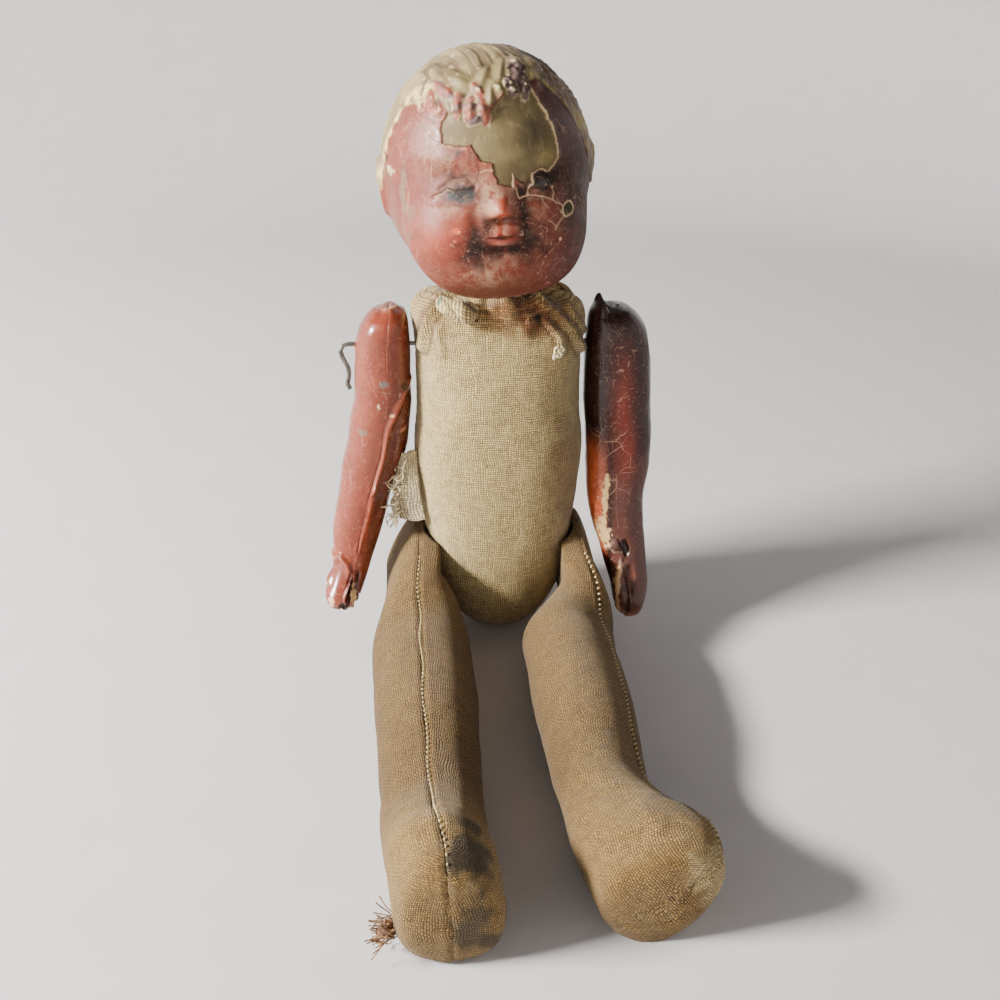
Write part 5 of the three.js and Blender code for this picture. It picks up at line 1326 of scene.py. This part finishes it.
# Each curl: place, half width, half height, tilt in degrees, rise, and 0 khaki, 1 red or 2 purple.
curls = [
    (-15.0, 20.6, 1.6, 3.4, 10, 0.9, 1), (-11.8, 22.8, 1.7, 3.2, -50, 1.0, 1),
    (-9.2, 19.9, 1.4, 3.0, 15, 1.1, 1), (-6.4, 18.9, 1.6, 3.3, 25, 1.3, 1),
    (-3.5, 18.6, 1.6, 2.7, -10, 1.3, 1), (-5.4, 16.9, 2.3, 1.0, -15, 0.8, 2),
    (-4.1, 22.6, 1.4, 2.0, -40, 1.1, 1), (-8.0, 24.6, 1.7, 3.4, -60, 0.9, 0),
    (-1.3, 21.2, 1.4, 2.8, 20, 1.2, 0), (1.1, 22.0, 1.5, 2.6, -30, 1.3, 0),
    (-2.2, 24.8, 1.6, 2.8, 50, 1.0, 0), (6.4, 25.6, 2.9, 2.7, 0, 1.4, 2),
    (4.0, 22.8, 1.8, 2.6, -25, 1.3, 2), (7.6, 22.2, 1.7, 2.4, 20, 1.1, 2),
    (10.4, 24.2, 1.7, 2.4, -30, 1.0, 0), (2.2, 25.8, 1.7, 3.0, 40, 1.0, 0),
    (-12.5, 25.8, 1.7, 3.4, -45, 0.8, 0), (11.6, 26.6, 1.7, 2.8, -50, 0.9, 0)]


def head_fields(local):
    """Relief height, hair share, height above the hairline, depth in the bare patch, flaked share of the
    curls, strands, and curl fields, from places in the head's own frame."""
    x, y, z = np.moveaxis(local, -1, 0)
    flat = np.stack([x, z], -1)
    front = ramp(-y, 2, 12)
    longitude = np.degrees(np.arctan2(x, -y))
    rag = 1.0 * clouds(local, 3, 51, 2)
    above = z - curve(hair_edge, longitude) + rag
    hair = ramp(above, -0.15, 0.25)
    patch = outline_depth(shaken(flat, local, 0.32, 1.2, 61, 2), bare_patch)
    patch = np.where(y < -8, patch, -9)

    fx = x + face_shift
    even_x = np.abs(fx)
    face = 3.5 * dome(fx, z, 0, -4.0, 2.6, 2.3) + 0.6 * dome(fx, z, 0, 1, 3, 5)
    face = face - 1.9 * dome(even_x, z, 11.3, 3.2, 5.6, 3.8) + 1.2 * dome(even_x, z, 11.3, 2, 4, 2.6)
    face = face + 1.9 * dome(even_x, z, 14, -10, 9, 8) + 1.5 * dome(fx, z, 0, -11.2, 4.2, 2.4)
    face = face + 2.4 * dome(fx, z, 0, -21, 7.5, 5) + 0.9 * dome(fx, z, 0, 24, 17, 9)
    face = face + 0.8 * dome(even_x, z, 2.1, -5.2, 1.2, 1.2) - 1.1 * dome(even_x, z, 1.1, -6.7, 0.7, 0.7)
    face = face - 0.8 * dome(fx, z, 0, -8.2, 3.2, 0.9) - 0.35 * dome(fx, z, 0, -8.6, 0.9, 1.0)
    face = face - 0.6 * dome(even_x, z, 6.4, -6.5, 1.5, 3.2)
    bow = -9.9 + 0.35 * np.cos(fx * 1.3) - 0.07 * fx ** 2
    face = face + 0.9 * np.exp(-((z - bow) / 0.75) ** 2 - (fx / 3.1) ** 4)
    face = face + 0.95 * dome(fx, z, 0, -12.4, 2.4, 0.9) - 1.0 * dome(fx, z, 0, -14.9, 3.6, 1.2)
    mouth = -11.05 - 0.2 * np.cos(fx * 1.1) - 0.02 * fx ** 2
    face = face - 1.0 * np.exp(-((z - mouth) / 0.38) ** 2 - (fx / 3.2) ** 6)
    face = face + 0.6 * dome(x, z, -11.6, -0.2, 3.6, 2.0) + 0.6 * dome(x, z, 9.8, -0.3, 3.6, 2.0)
    for lid, fold in ((right_lid, right_fold), (left_lid, left_fold)):
        face = face - 0.5 * ridge(to_path(flat, lid)[0], 0.4) - 0.45 * ridge(to_path(flat, fold)[0], 0.55)
    face = face + 0.7 * dome(even_x, z, 11, 8, 6, 1.8) - 0.3 * dome(even_x, z, 11.5, -3.6, 4, 0.8)
    face = face * np.minimum(1, np.maximum(0, -y) / 10) - 1.6 * dome(x, z, 25, -15, 9, 9)

    ear_y, ear_z = (y - 2) / 3.6, (z + 3) / 7.2
    around = np.hypot(ear_y, ear_z)
    at_side = ramp(np.abs(x), 21.5, 24.5)
    ear = 1.9 * np.exp(-around ** 2) + 0.8 * ridge(around - 0.95, 0.2) - 1.5 * ridge(around, 0.5)
    ear = ear + 0.6 * ridge(np.hypot(ear_y + 0.35, ear_z * 1.1), 0.25)

    across = x * 0.85 + y * 0.30 - 0.25 * z
    drift = clouds(local, 12, 71)
    strands = 0.22 * np.cos(2 * np.pi * (across + 1.1 * drift) / 7.2)
    strands = strands + 0.12 * np.sin(2 * np.pi * (across / 2.3 + 0.8 * drift))
    strands = strands + 0.07 * np.sin(2 * np.pi * (across / 1.05 + 1.3 * clouds(local, 7, 72)))
    strokes = 0.16 * np.sin(longitude * 0.9 + 6 * clouds(local, 9, 73)) * ramp(x, 10, 16)
    swirl = 0.30 * clouds(local * (1, 1, 0.5), 4.5, 74, 2)
    curl_high, curl_far, curl_kind = 0 * x, 9 + 0 * x, 0 * x
    for cx, cz, wide, high, tilt, rise, kind in curls:
        dx, dz = x - cx, z - cz
        cos, sin = np.cos(np.radians(tilt)), np.sin(np.radians(tilt))
        u, v = (dx * cos - dz * sin) / wide, (dx * sin + dz * cos) / high
        far = np.maximum(0, np.hypot(u, v) + 0.10 * clouds(local, 1.4, 75))
        combed = 0.93 + 0.07 * np.cos(6 * u + 2 * v)
        coiled = 0.8 + 0.2 * np.cos(7 * far - 2 * np.arctan2(v, u))
        comb = combed if kind < 2 else coiled
        top = rise * np.exp(-(far * 0.95) ** 2.2) * comb
        curl_kind = np.where(far < curl_far, kind, curl_kind)
        curl_far = np.minimum(curl_far, far)
        curl_high = (curl_high ** 4 + top ** 4) ** 0.25
    curl_high = curl_high * front
    curl_far = np.where(y < -4, curl_far, 9)
    flaked = ramp(curl_far + 0.3 * clouds(local, 1.1, 82, 2), 1.0, 0.8) * (curl_kind > 0)
    rough_flake = 0.16 * clouds(local, 0.8, 83, 2) * flaked
    relief = face + ear * at_side
    relief = relief + hair * (0.30 + (strands + swirl * 0.8) * ramp(curl_far, 0.8, 1.4) + strokes)
    relief = relief + curl_high * ramp(above, -3, -1) * 1.25 + rough_flake
    relief = relief - 0.34 * ramp(patch, -0.12, 0.12) * (1 - hair)
    rim = ridge(patch + 0.45, 0.5) * ramp(x + z * 0.2, -4, 6)
    relief = relief + 0.22 * rim * (1 - hair)
    return relief, hair, above, patch, flaked, strands + swirl, (curl_high, curl_far, curl_kind)


# Each crack: its line, its half width and how strong it is, above 0 for a pale one, below 0 for a dark one.
face_cracks = [
    (right_lid[:3], 0.3, 0.7),
    ([(-7.9, 1.0), (-7.6, 2.5), (-6.4, 4.9), (-6.4, 9.2)], 0.26, -0.9),
    ([(-6.3, 5.2), (-4.8, 5.6), (-2.8, 5.4)], 0.22, 0.7),
    ([(1.7, 1.1), (2.0, 2.6), (2.3, 4.2)], 0.3, 0.9),
    ([(2.6, 0.6), (3.4, -2.2), (5.8, -1.5), (9.4, -2.3), (12.2, -3.9), (14.8, -5.6)], 0.27, 0.85),
    ([(7.7, 3.5), (7.3, 1.1), (6.2, 0.3), (5.6, -1.2)], 0.28, 0.9),
    ([(9.0, -2.2), (9.8, -4.2), (10.6, -5.4)], 0.2, 0.7),
    ([(12.4, -0.4), (12.6, -2.2), (12.0, -3.6)], 0.24, 0.85),
    ([(15.2, -7.4), (12.9, -9.1), (12.0, -10.6)], 0.25, 0.85),
    ([(10.2, -8.3), (11.3, -8.9), (12.3, -9.7)], 0.2, 0.7),
    ([(-18.1, 2.3), (-18.0, 5.2), (-17.3, 8.2), (-16.1, 10.3), (-14.2, 11.8)], 0.2, 0.5),
    ([(-18.2, 14.5), (-16.4, 12.6), (-14.4, 12.0)], 0.18, -0.6),
    ([(-19, 18.5), (-16.0, 16.4), (-14.6, 15.1)], 0.18, -0.6),
    ([(-7.0, -14.5), (-6.0, -19), (-4.8, -22.5)], 0.16, 0.4),
    ([(-8, -22), (-5, -24.5), (-3, -25)], 0.16, 0.5),
    ([(-8.4, 10.6), (-7.0, 8.4), (-6.6, 5)], 0.2, -0.7)]


def head_paint(local, hair, above, patch, flaked, strands, curl):
    """Paint and wear of the head, laid one over another: skin, blush, painted shade down the left side and
    under the chin, painted shade over the right eye and at the nostrils, a painted highlight on the nose tip,
    grime mixed with painted shade, the lost patch of paint over the forehead, eyes, lips, hair with painted
    shade and light on its strands and curls, flaking, cracks, dust and painted highlights on the right cheek."""
    x, y, z = np.moveaxis(local, -1, 0)
    flat = np.stack([x, z], -1)
    front = (y < -3) * 1.0
    longitude = np.degrees(np.arctan2(x, -y))
    fx = x + face_shift
    paint = np.broadcast_to(terracotta * (0.9, 1, 1.05), local.shape)
    # Over the mottled skin and the blush, the head's left side and the underside of the chin are darkened as
    # painted shade, and the upper right is greyed.
    for mask, colour in ((0.35 + 0.5 * clouds(local, 14, 5, 3), terracotta * 0.76),
                         (0.45 * dome(np.abs(fx), z, 14, -10, 8, 7), as_light(172, 70, 46)),
                         (0.85 * ramp(x, 3, 18), as_light(68, 27, 20)),
                         (0.5 * ramp(z, -19, -27), as_light(84, 40, 30)),
                         (0.75 * ramp(x + 0.4 * z, 8, 24), as_light(54, 30, 28)),
                         (0.35 * ramp(-x + 0.6 * z, 6, 20), as_light(110, 60, 52))):
        paint = lay(paint, mask, colour)
    rough = 0.42 + 0.07 * clouds(local, 8, 6)
    crazed = 0.15 + 0.4 * ramp(-x, 8, 20) * ramp(z, -2, 8)
    scratched = 0.5 + 0.3 * clouds(local, 12, 8)
    scratched = scratched + 0.5 * dome(x, z, -2, -19, 14, 7) + 0.5 * dome(x, z, 12, -6, 8, 8)

    def smear(mask, colour, dull=0.3):
        nonlocal paint, rough
        paint, rough = lay(paint, mask, colour), rough + dull * np.clip(mask, 0, 1)

    mist = 0.8 + 0.45 * clouds(local, 2.6, 91, 3)
    brow, _ = to_path(flat, [(-13.2, 8.7), (-11.2, 9.8), (-7.8, 9.3)])
    smear(front * 0.85 * ridge(brow, 0.8) * ramp(clouds(local, 1.2, 92), -0.6, 0.2), as_light(50, 50, 54))
    smear(front * 0.7 * dome(x, z, -11.6, -0.8, 5.0, 2.6) * mist, as_light(98, 96, 100))
    iris = np.hypot((x + 11.0) / 3.5, (z - 0.1) / 2.4) + 0.2 * clouds(local, 1.3, 93)
    smear(front * 0.95 * ramp(iris, 1.15, 0.75), as_light(58, 64, 66))
    smear(front * 0.8 * ramp(iris, 0.6, 0.35), as_light(36, 40, 42))
    smear(front * 0.95 * ridge(to_path(flat, right_lid[1:])[0], 0.6), as_light(26, 22, 22))
    # A dark band over the right eye is painted shade under the brow.
    smear(front * 0.75 * dome(x, z, -11.2, 2.5, 4.4, 1.3) * mist, as_light(58, 42, 36))
    smear(front * 0.65 * ridge(to_path(flat, right_fold)[0], 0.7), as_light(70, 52, 48))
    below_eye, _ = to_path(flat, [(-15.2, -1.2), (-12, -3.0), (-8.4, -2.0)])
    smear(front * 0.5 * ridge(below_eye, 0.5), as_light(84, 66, 62))
    socket = np.hypot((x - 9.4) / 3.9, (z - 0.8) / 2.1) + 0.25 * clouds(local, 1.4, 94)
    smear(front * 0.97 * ramp(socket, 1.1, 0.7), as_light(40, 40, 38))
    smear(front * 0.6 * dome(x, z, 10.4, 1.0, 1.4, 0.8), as_light(96, 100, 98))
    smear(front * 0.7 * ridge(to_path(flat, left_fold)[0], 0.8), as_light(44, 34, 34))
    lips = np.exp(-((z + 11.1) / 1.8) ** 4 - (fx / 3.1) ** 4)
    mouth_line = -11.05 - 0.2 * np.cos(fx * 1.1) - 0.02 * fx ** 2
    smear(front * 0.85 * lips, as_light(150, 50, 34), 0)
    smear(front * 0.6 * dome(fx, z, 0.6, -12.7, 2.0, 0.8), as_light(176, 124, 112), 0)
    smear(front * 0.9 * np.exp(-((z - mouth_line) / 0.36) ** 2 - (fx / 3.2) ** 6), as_light(50, 22, 20))
    # The nose tip is painted a brighter orange, blush with a painted highlight, and the nostrils are painted
    # dark as painted shade.
    smear(front * 0.9 * dome(fx, z, -0.2, -4.2, 2.4, 2.0), as_light(186, 76, 50), -0.2)
    smear(front * 0.85 * dome(np.abs(fx), z, 1.5, -7.2, 1.0, 0.7), as_light(40, 26, 24))
    film = ramp(clouds(local, 1.6, 95, 3) + clouds(local, 0.6, 96) * 0.4, -0.6, 0.5)
    for x0, z0, wide, high, much in (
            (-4.4, 0.0, 3.0, 4.0, 0.85), (-5.8, -3.4, 3.0, 2.6, 0.8), (-1.8, -8.8, 2.4, 1.8, 0.75),
            (6.2, -3.4, 4.6, 2.4, 0.65), (-3.0, -18.4, 7.5, 2.2, 0.6), (-6, -22, 9, 3.4, 0.5),
            (-14, -4, 5.0, 2.4, 0.5), (2.8, 0.2, 2.6, 2.0, 0.7), (-13, 7, 7, 5, 0.35),
            (-17, 12, 5, 7, 0.25), (-1.5, -1.0, 1.6, 2, 0.4), (8, -9, 6, 5, 0.35)):
        smear(front * much * dome(x, z, x0, z0, wide, high) * film, dust, 0.25)
    # Dark marks round the mouth, nose and eyes are grime in the hollows mixed with painted shade; those over
    # the face's left side are painted shade.
    grime_and_shade_dark = as_light(38, 27, 24)
    for x0, z0, wide, high, much in (
            (-9.4, -13.0, 4.4, 4.4, 0.85), (-6.6, -9.6, 2.4, 2.8, 0.6), (5.4, -12.0, 3.6, 3.6, 0.9),
            (4.2, -5.6, 2.4, 4.6, 0.8), (-0.4, -15.0, 4.6, 1.9, 0.95), (-4.6, -15.0, 2.6, 2.2, 0.7),
            (4.0, -1.0, 2.2, 2.2, 0.85), (-7.0, -17.5, 2.6, 2.2, 0.6), (-11.5, 4.6, 5.4, 1.3, 0.45),
            (-5.0, -8.0, 1.2, 2.2, 0.6), (9.6, -2.2, 5.0, 1.4, 0.5), (15.5, 2.0, 3.6, 3.6, 0.5),
            (10.5, 2.4, 4.6, 1.4, 0.6), (1.4, -7.0, 1.4, 1.2, 0.6), (7, -16, 4, 3.4, 0.5),
            (12, -12, 6, 5, 0.35), (21, -4, 6, 14, 0.55)):
        thick = 1.45 * much * dome(x, z, x0, z0, wide, high) * mist
        smear(front * np.minimum(0.96, thick), grime_and_shade_dark)

    bare = ramp(patch, -0.08, 0.08) * (1 - hair) * front
    ground = np.broadcast_to(bare_wood, local.shape)
    grain = ramp(clouds(local * (1, 1, 0.4), 1.1, 113, 2), 0.2, 0.8)
    shadow = dome(x, z, 8, 13, 5, 4.4) * (0.8 + 0.3 * clouds(local, 2, 98))
    # The bare ground darkens toward the left as painted shade, besides its own clouds, grain and blotches.
    for mask, colour in ((0.5 + 0.6 * clouds(local, 5, 97, 3), bare_wood * 0.72),
                         (0.5 * ramp(x, 0, 14), bare_wood * 0.6),
                         (0.8 * shadow, as_light(62, 54, 38)),
                         (0.3 * grain, as_light(150, 132, 96)),
                         (0.5 * dome(x, z, 3, 19, 4, 2), as_light(78, 66, 44)),
                         (0.35 * dome(x, z, 12, 7, 3, 3), as_light(146, 124, 62))):
        ground = lay(ground, mask, colour)
    paint = lay(paint, bare, 0)
    paint = paint + ground * bare[..., None]
    rough = rough + (0.62 + 0.1 * clouds(local, 3, 114) - rough) * bare
    crazed, scratched = crazed * (1 - bare), scratched * (1 - 0.7 * bare)
    cream_rim = ridge(patch + 0.2, 0.15) * ramp(x, 5.5, 8.5) * ramp(z, 2.2, 3.6) * (1 - hair) * front
    smear(cream_rim, cream_ground)
    thin_rim = ridge(patch + 0.15, 0.2) * ramp(x, 6, 2) * (1 - hair) * front
    smear(0.75 * thin_rim, as_light(64, 34, 26))
    lifted = ridge(patch + 0.55, 0.25) * ramp(x, 6, 2) * ramp(clouds(local, 1.5, 99), 0, 0.4)
    smear(0.5 * lifted * (1 - hair) * front, as_light(206, 150, 112))

    khaki = as_light(152, 135, 93)
    curl_high, curl_far, curl_kind = curl
    brown = ramp(clouds(local * (1, 0.6, 1), 5, 115, 2) - 0.03 * np.abs(x + 4), -0.2, 0.5)
    left_side_shade = ramp(longitude + 8 * clouds(local, 6, 102, 2), 24, 44) * ramp(longitude, 150, 100)
    streaks = ramp(clouds(local * (1, 1, 0.35), 2.6, 103, 2), -0.75, 0.1)
    near_curl = ramp(curl_far, 2.0, 1.1) * front
    hair_paint = np.broadcast_to(khaki, local.shape)
    # The khaki hair is darker in the grooves of its strands and round the feet of its curls, as painted
    # shade, paler on the strands' crests, as painted light, and darker on its left side, in streaks and low
    # down, as painted shade.
    for mask, colour in ((0.4 + 0.5 * clouds(local, 9, 101, 3), khaki * 0.76),
                         (0.5 * brown, as_light(112, 90, 78)),
                         (0.6 * ramp(-strands, 0.05, 0.5), as_light(104, 88, 64)),
                         (0.4 * ramp(strands, 0.1, 0.45), as_light(164, 150, 112)),
                         (0.8 * left_side_shade * streaks, as_light(96, 78, 72)),
                         (0.4 * left_side_shade * ramp(-z, -6, 4), as_light(80, 76, 62)),
                         (0.35 * near_curl, as_light(112, 96, 62)),
                         (0.7 * near_curl * ramp(curl_high, 0.55, 0.15), as_light(74, 58, 42))):
        hair_paint = lay(hair_paint, mask, colour)
    paint = lay(paint, hair, 0) + hair_paint * hair[..., None]
    rough = rough + (0.5 - rough) * hair
    crazed, scratched = crazed * (1 - 0.8 * hair), scratched * (1 - 0.75 * hair)

    red_flake = lay(np.broadcast_to(as_light(148, 84, 66), local.shape),
                    ramp(clouds(local, 1.3, 104, 2), -0.1, 0.5), as_light(104, 78, 70))
    purple_flake = lay(np.broadcast_to(as_light(96, 76, 72), local.shape),
                       ramp(clouds(local, 1.1, 116, 2), 0, 0.5), as_light(60, 48, 46))
    cover = np.clip(flaked, 0, 1)[..., None]
    paint = paint * (1 - cover) + np.where((curl_kind > 1)[..., None], purple_flake, red_flake) * cover
    rim = ridge(curl_far + 0.3 * clouds(local, 1.1, 82, 2) - 0.92, 0.10) * front * (z > 15)
    rim = rim * ramp(clouds(local, 1.5, 105), -0.2, 0.3) * np.where(curl_kind > 0, 0.6, 0.12)
    smear(rim, as_light(210, 190, 146))
    chips = ramp(clouds(local, 1.2, 106, 2) + 0.3 * ramp(curl_high, 0.6, 1.1), 0.85, 1.0)
    smear(0.9 * chips * hair * front * ramp(z, 17, 20), as_light(212, 192, 150))
    edge_band = ridge(above - 1.2, 2.6) * ramp(-longitude, 42, 52) * ramp(-longitude, 100, 86)
    flaking = ramp(clouds(local * (1, 1, 0.7), 1.5, 107, 4) + 1.15 * edge_band, 0.70, 0.82)
    smear(flaking * edge_band ** 0.3, as_light(208, 182, 124))
    crest = ramp(clouds(local, 2.2, 108, 2), 0.75, 0.95) * ramp(z, 25, 29)
    smear(0.9 * crest * ramp(-y, -4, 8), as_light(196, 182, 140))
    hairline = ridge(above, 0.35) * ramp(np.abs(longitude), 70, 50) * ramp(clouds(local, 2, 109), -0.4, 0.3)
    smear(0.6 * hairline * (1 - bare), as_light(70, 44, 36))

    ear_ring = ramp(np.abs(x), 21, 24) * (x < 0)
    spot = np.hypot(y + 6.2, z - 6.2)
    smear(ear_ring * ramp(spot + 0.3 * clouds(local, 0.8, 110), 1.1, 0.8), as_light(34, 26, 22))
    pale_chip = np.hypot((y + 9.5) / 2.6, (z - 3.4) / 1.1) + 0.4 * clouds(local, 1.2, 111)
    smear(ear_ring * ramp(pale_chip, 1.1, 0.8), as_light(228, 206, 152))
    rubbed = ramp(clouds(local * (1, 1, 0.5), 2.2, 112, 2), 0.1, 0.5) * ramp(np.abs(z + 4), 12, 7)
    smear(0.6 * ear_ring * rubbed, as_light(112, 104, 84))
    nape = ramp(-z, 6, 14) * ramp(np.abs(longitude), 70, 110) * (1 - hair)
    smear(0.4 * nape, as_light(92, 60, 50))

    shaken_flat = shaken(flat, local, 0.2, 1.1, 121)
    for path, width, pale in face_cracks:
        crack = ridge(to_path(shaken_flat, path)[0], width * 0.55) * (1 - hair)
        smear(front * abs(pale) * 0.85 * crack, as_light(214, 176, 138) if pale > 0 else as_light(46, 24, 20))
    chip = np.hypot((x - 16.2) / 1.9, (z + 6.8) / 1.5) + 0.15 * clouds(local, 1.0, 123)
    smear(front * ramp(chip, 1.25, 1.1) * 0.9, as_light(206, 176, 136))
    smear(front * ramp(chip, 1.0, 0.85), as_light(54, 54, 38))
    # Three small bright dots on the right cheek are painted highlights; a fourth, paler dot lies low on the
    # left cheek.
    for x0, z0, size, tint in ((-12.6, -8.6, 0.8, (190, 84, 52)), (-13.4, -11.2, 0.4, (190, 100, 70)),
                               (13.4, -13.6, 0.5, (200, 150, 120)), (-12.0, -9.0, 0.25, (220, 140, 104))):
        near = np.hypot(x - x0, z - z0) / size + 0.4 * clouds(local, 0.8, int(x0 * 7) % 97)
        smear(front * ramp(near, 1.2, 0.8), as_light(*tint))
    return paint, np.stack([np.clip(rough, 0.2, 0.95), np.clip(crazed, 0, 1), np.clip(scratched, 0, 1)], -1)


# The glued seam runs round the head a little behind its middle, with a narrow gap.
seam_back, seam_gap, seam_radius, head_wall, neck_steps = 1.5, 0.3, 29.5, 3, 40
neck_axis = np.array([0, neck_back, 0])
neck_profile = np.array([(9.5, 124), (9.5, 103.6), (11.6, 103.6), (11.6, 101.1), (6.5, 101.1), (6.5, 124)])
for name, node, facing, rows, columns, slot in (("head_face_shell", "head_front", -1, 196, 470, "skin"),
                                                ("head_back_shell", "head_back", 1, 130, 400, "hair")):
    # The pole of the grid is the nose or the back of the head, and its last ring is the glued seam.
    turn = np.linspace(0, 2 * np.pi, columns, endpoint=False)[None]
    polar = np.linspace(0.003, 1, rows)[:, None]
    if facing < 0:
        polar = polar ** 1.12
    polar = polar * (np.pi / 2 - np.arcsin((facing * seam_back + seam_gap / 2) / seam_radius))
    way = np.stack(np.broadcast_arrays(np.sin(polar) * np.cos(turn), facing * np.cos(polar),
                                       np.sin(polar) * np.sin(turn)), -1)
    base = way * egg(way)[..., None]
    relief, *fields = head_fields(base)
    local = way * (egg(way) + relief)[..., None]
    paint, wear = head_paint(base, *fields)
    inner = way[::-14] * (egg(way[::-14])[..., None] - head_wall)
    inner_rows = len(inner)
    shell = np.concatenate([local, inner]) @ head_matrix.T + head_middle
    total = rows + inner_rows
    body = (shell.reshape(-1, 3), grid_quads(total, columns, around=True), end_fans(total, columns))
    sweep = np.linspace(0, np.pi, neck_steps)[:, None] + (np.pi if facing < 0 else 0)
    outward, upward = neck_profile.T
    aside, forward = outward * np.cos(sweep), outward * np.sin(sweep) + facing * seam_gap / 2
    ring = np.stack(np.broadcast_arrays(aside, forward, upward), -1) + neck_axis
    caps = [[0, 1, 4], [1, 3, 4], [1, 2, 3], [0, 4, 5]]
    corners = len(neck_profile)
    caps = caps + [[(neck_steps - 1) * corners + c for c in cap[::-1]] for cap in caps]
    neck = (ring.reshape(-1, 3), grid_quads(neck_steps, corners, around=True), np.array(caps))
    points, quads, triangles = joined(body, neck)
    neck_count = ring.size // 3
    inner_paint = np.broadcast_to(bare_wood * 0.8, (inner_rows * columns, 3))
    neck_paint = np.broadcast_to(terracotta * 0.7, (neck_count, 3))
    all_paint = np.concatenate([paint.reshape(-1, 3), inner_paint, neck_paint])
    plain_wear = np.broadcast_to((0.7, 0.0, 0.2), (inner_rows * columns + neck_count, 3))
    piece = build(name, points, quads, triangles, paint=all_paint,
                  wear=np.concatenate([wear.reshape(-1, 3), plain_wear]))
    piece.data.materials.append(painted_skin)
    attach(piece, "head")
    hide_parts(node)

# Shoulder wire, hip pins and washers of dull drawn steel, and discs of plain brown card under them.
steel = Finish("dull_drawn_steel")
place = steel.add("TexCoord", {}, {}, out="Object")
tarnish, drawn = steel.noise(place, 350, 4, 0.6), steel.noise(place, 1400, 2, 0.5, (0.15, 1, 1))
bright = steel.mix(tarnish.step(0.4, 0.7), as_light(118, 116, 108), as_light(74, 68, 60))
steel_finish = steel.surface(bright, tarnish.step(0.3, 0.75, 0.34, 0.6), drawn * 0.5 + tarnish * 0.5, 0.04,
                             Metallic=0.8)
board = Finish("brown_card")
place = board.add("TexCoord", {}, {}, out="Object")
fibre, spots = board.noise(place, 900, 4, 0.6, (1, 0.4, 1)), board.noise(place, 150, 2)
card_finish = board.surface(board.mix(fibre.step(0.35, 0.65), as_light(118, 92, 58), as_light(150, 122, 82)),
                            spots.step(0.2, 0.8, 0.85, 0.95), fibre, 0.08)
for node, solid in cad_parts.items():
    if node == "shoulder_wire" or node.endswith(("_washer", "_pin")):
        solid.data.materials.clear()
        solid.data.materials.append(steel_finish)
    elif node.endswith("_disc"):
        solid.data.materials.clear()
        solid.data.materials.append(card_finish)
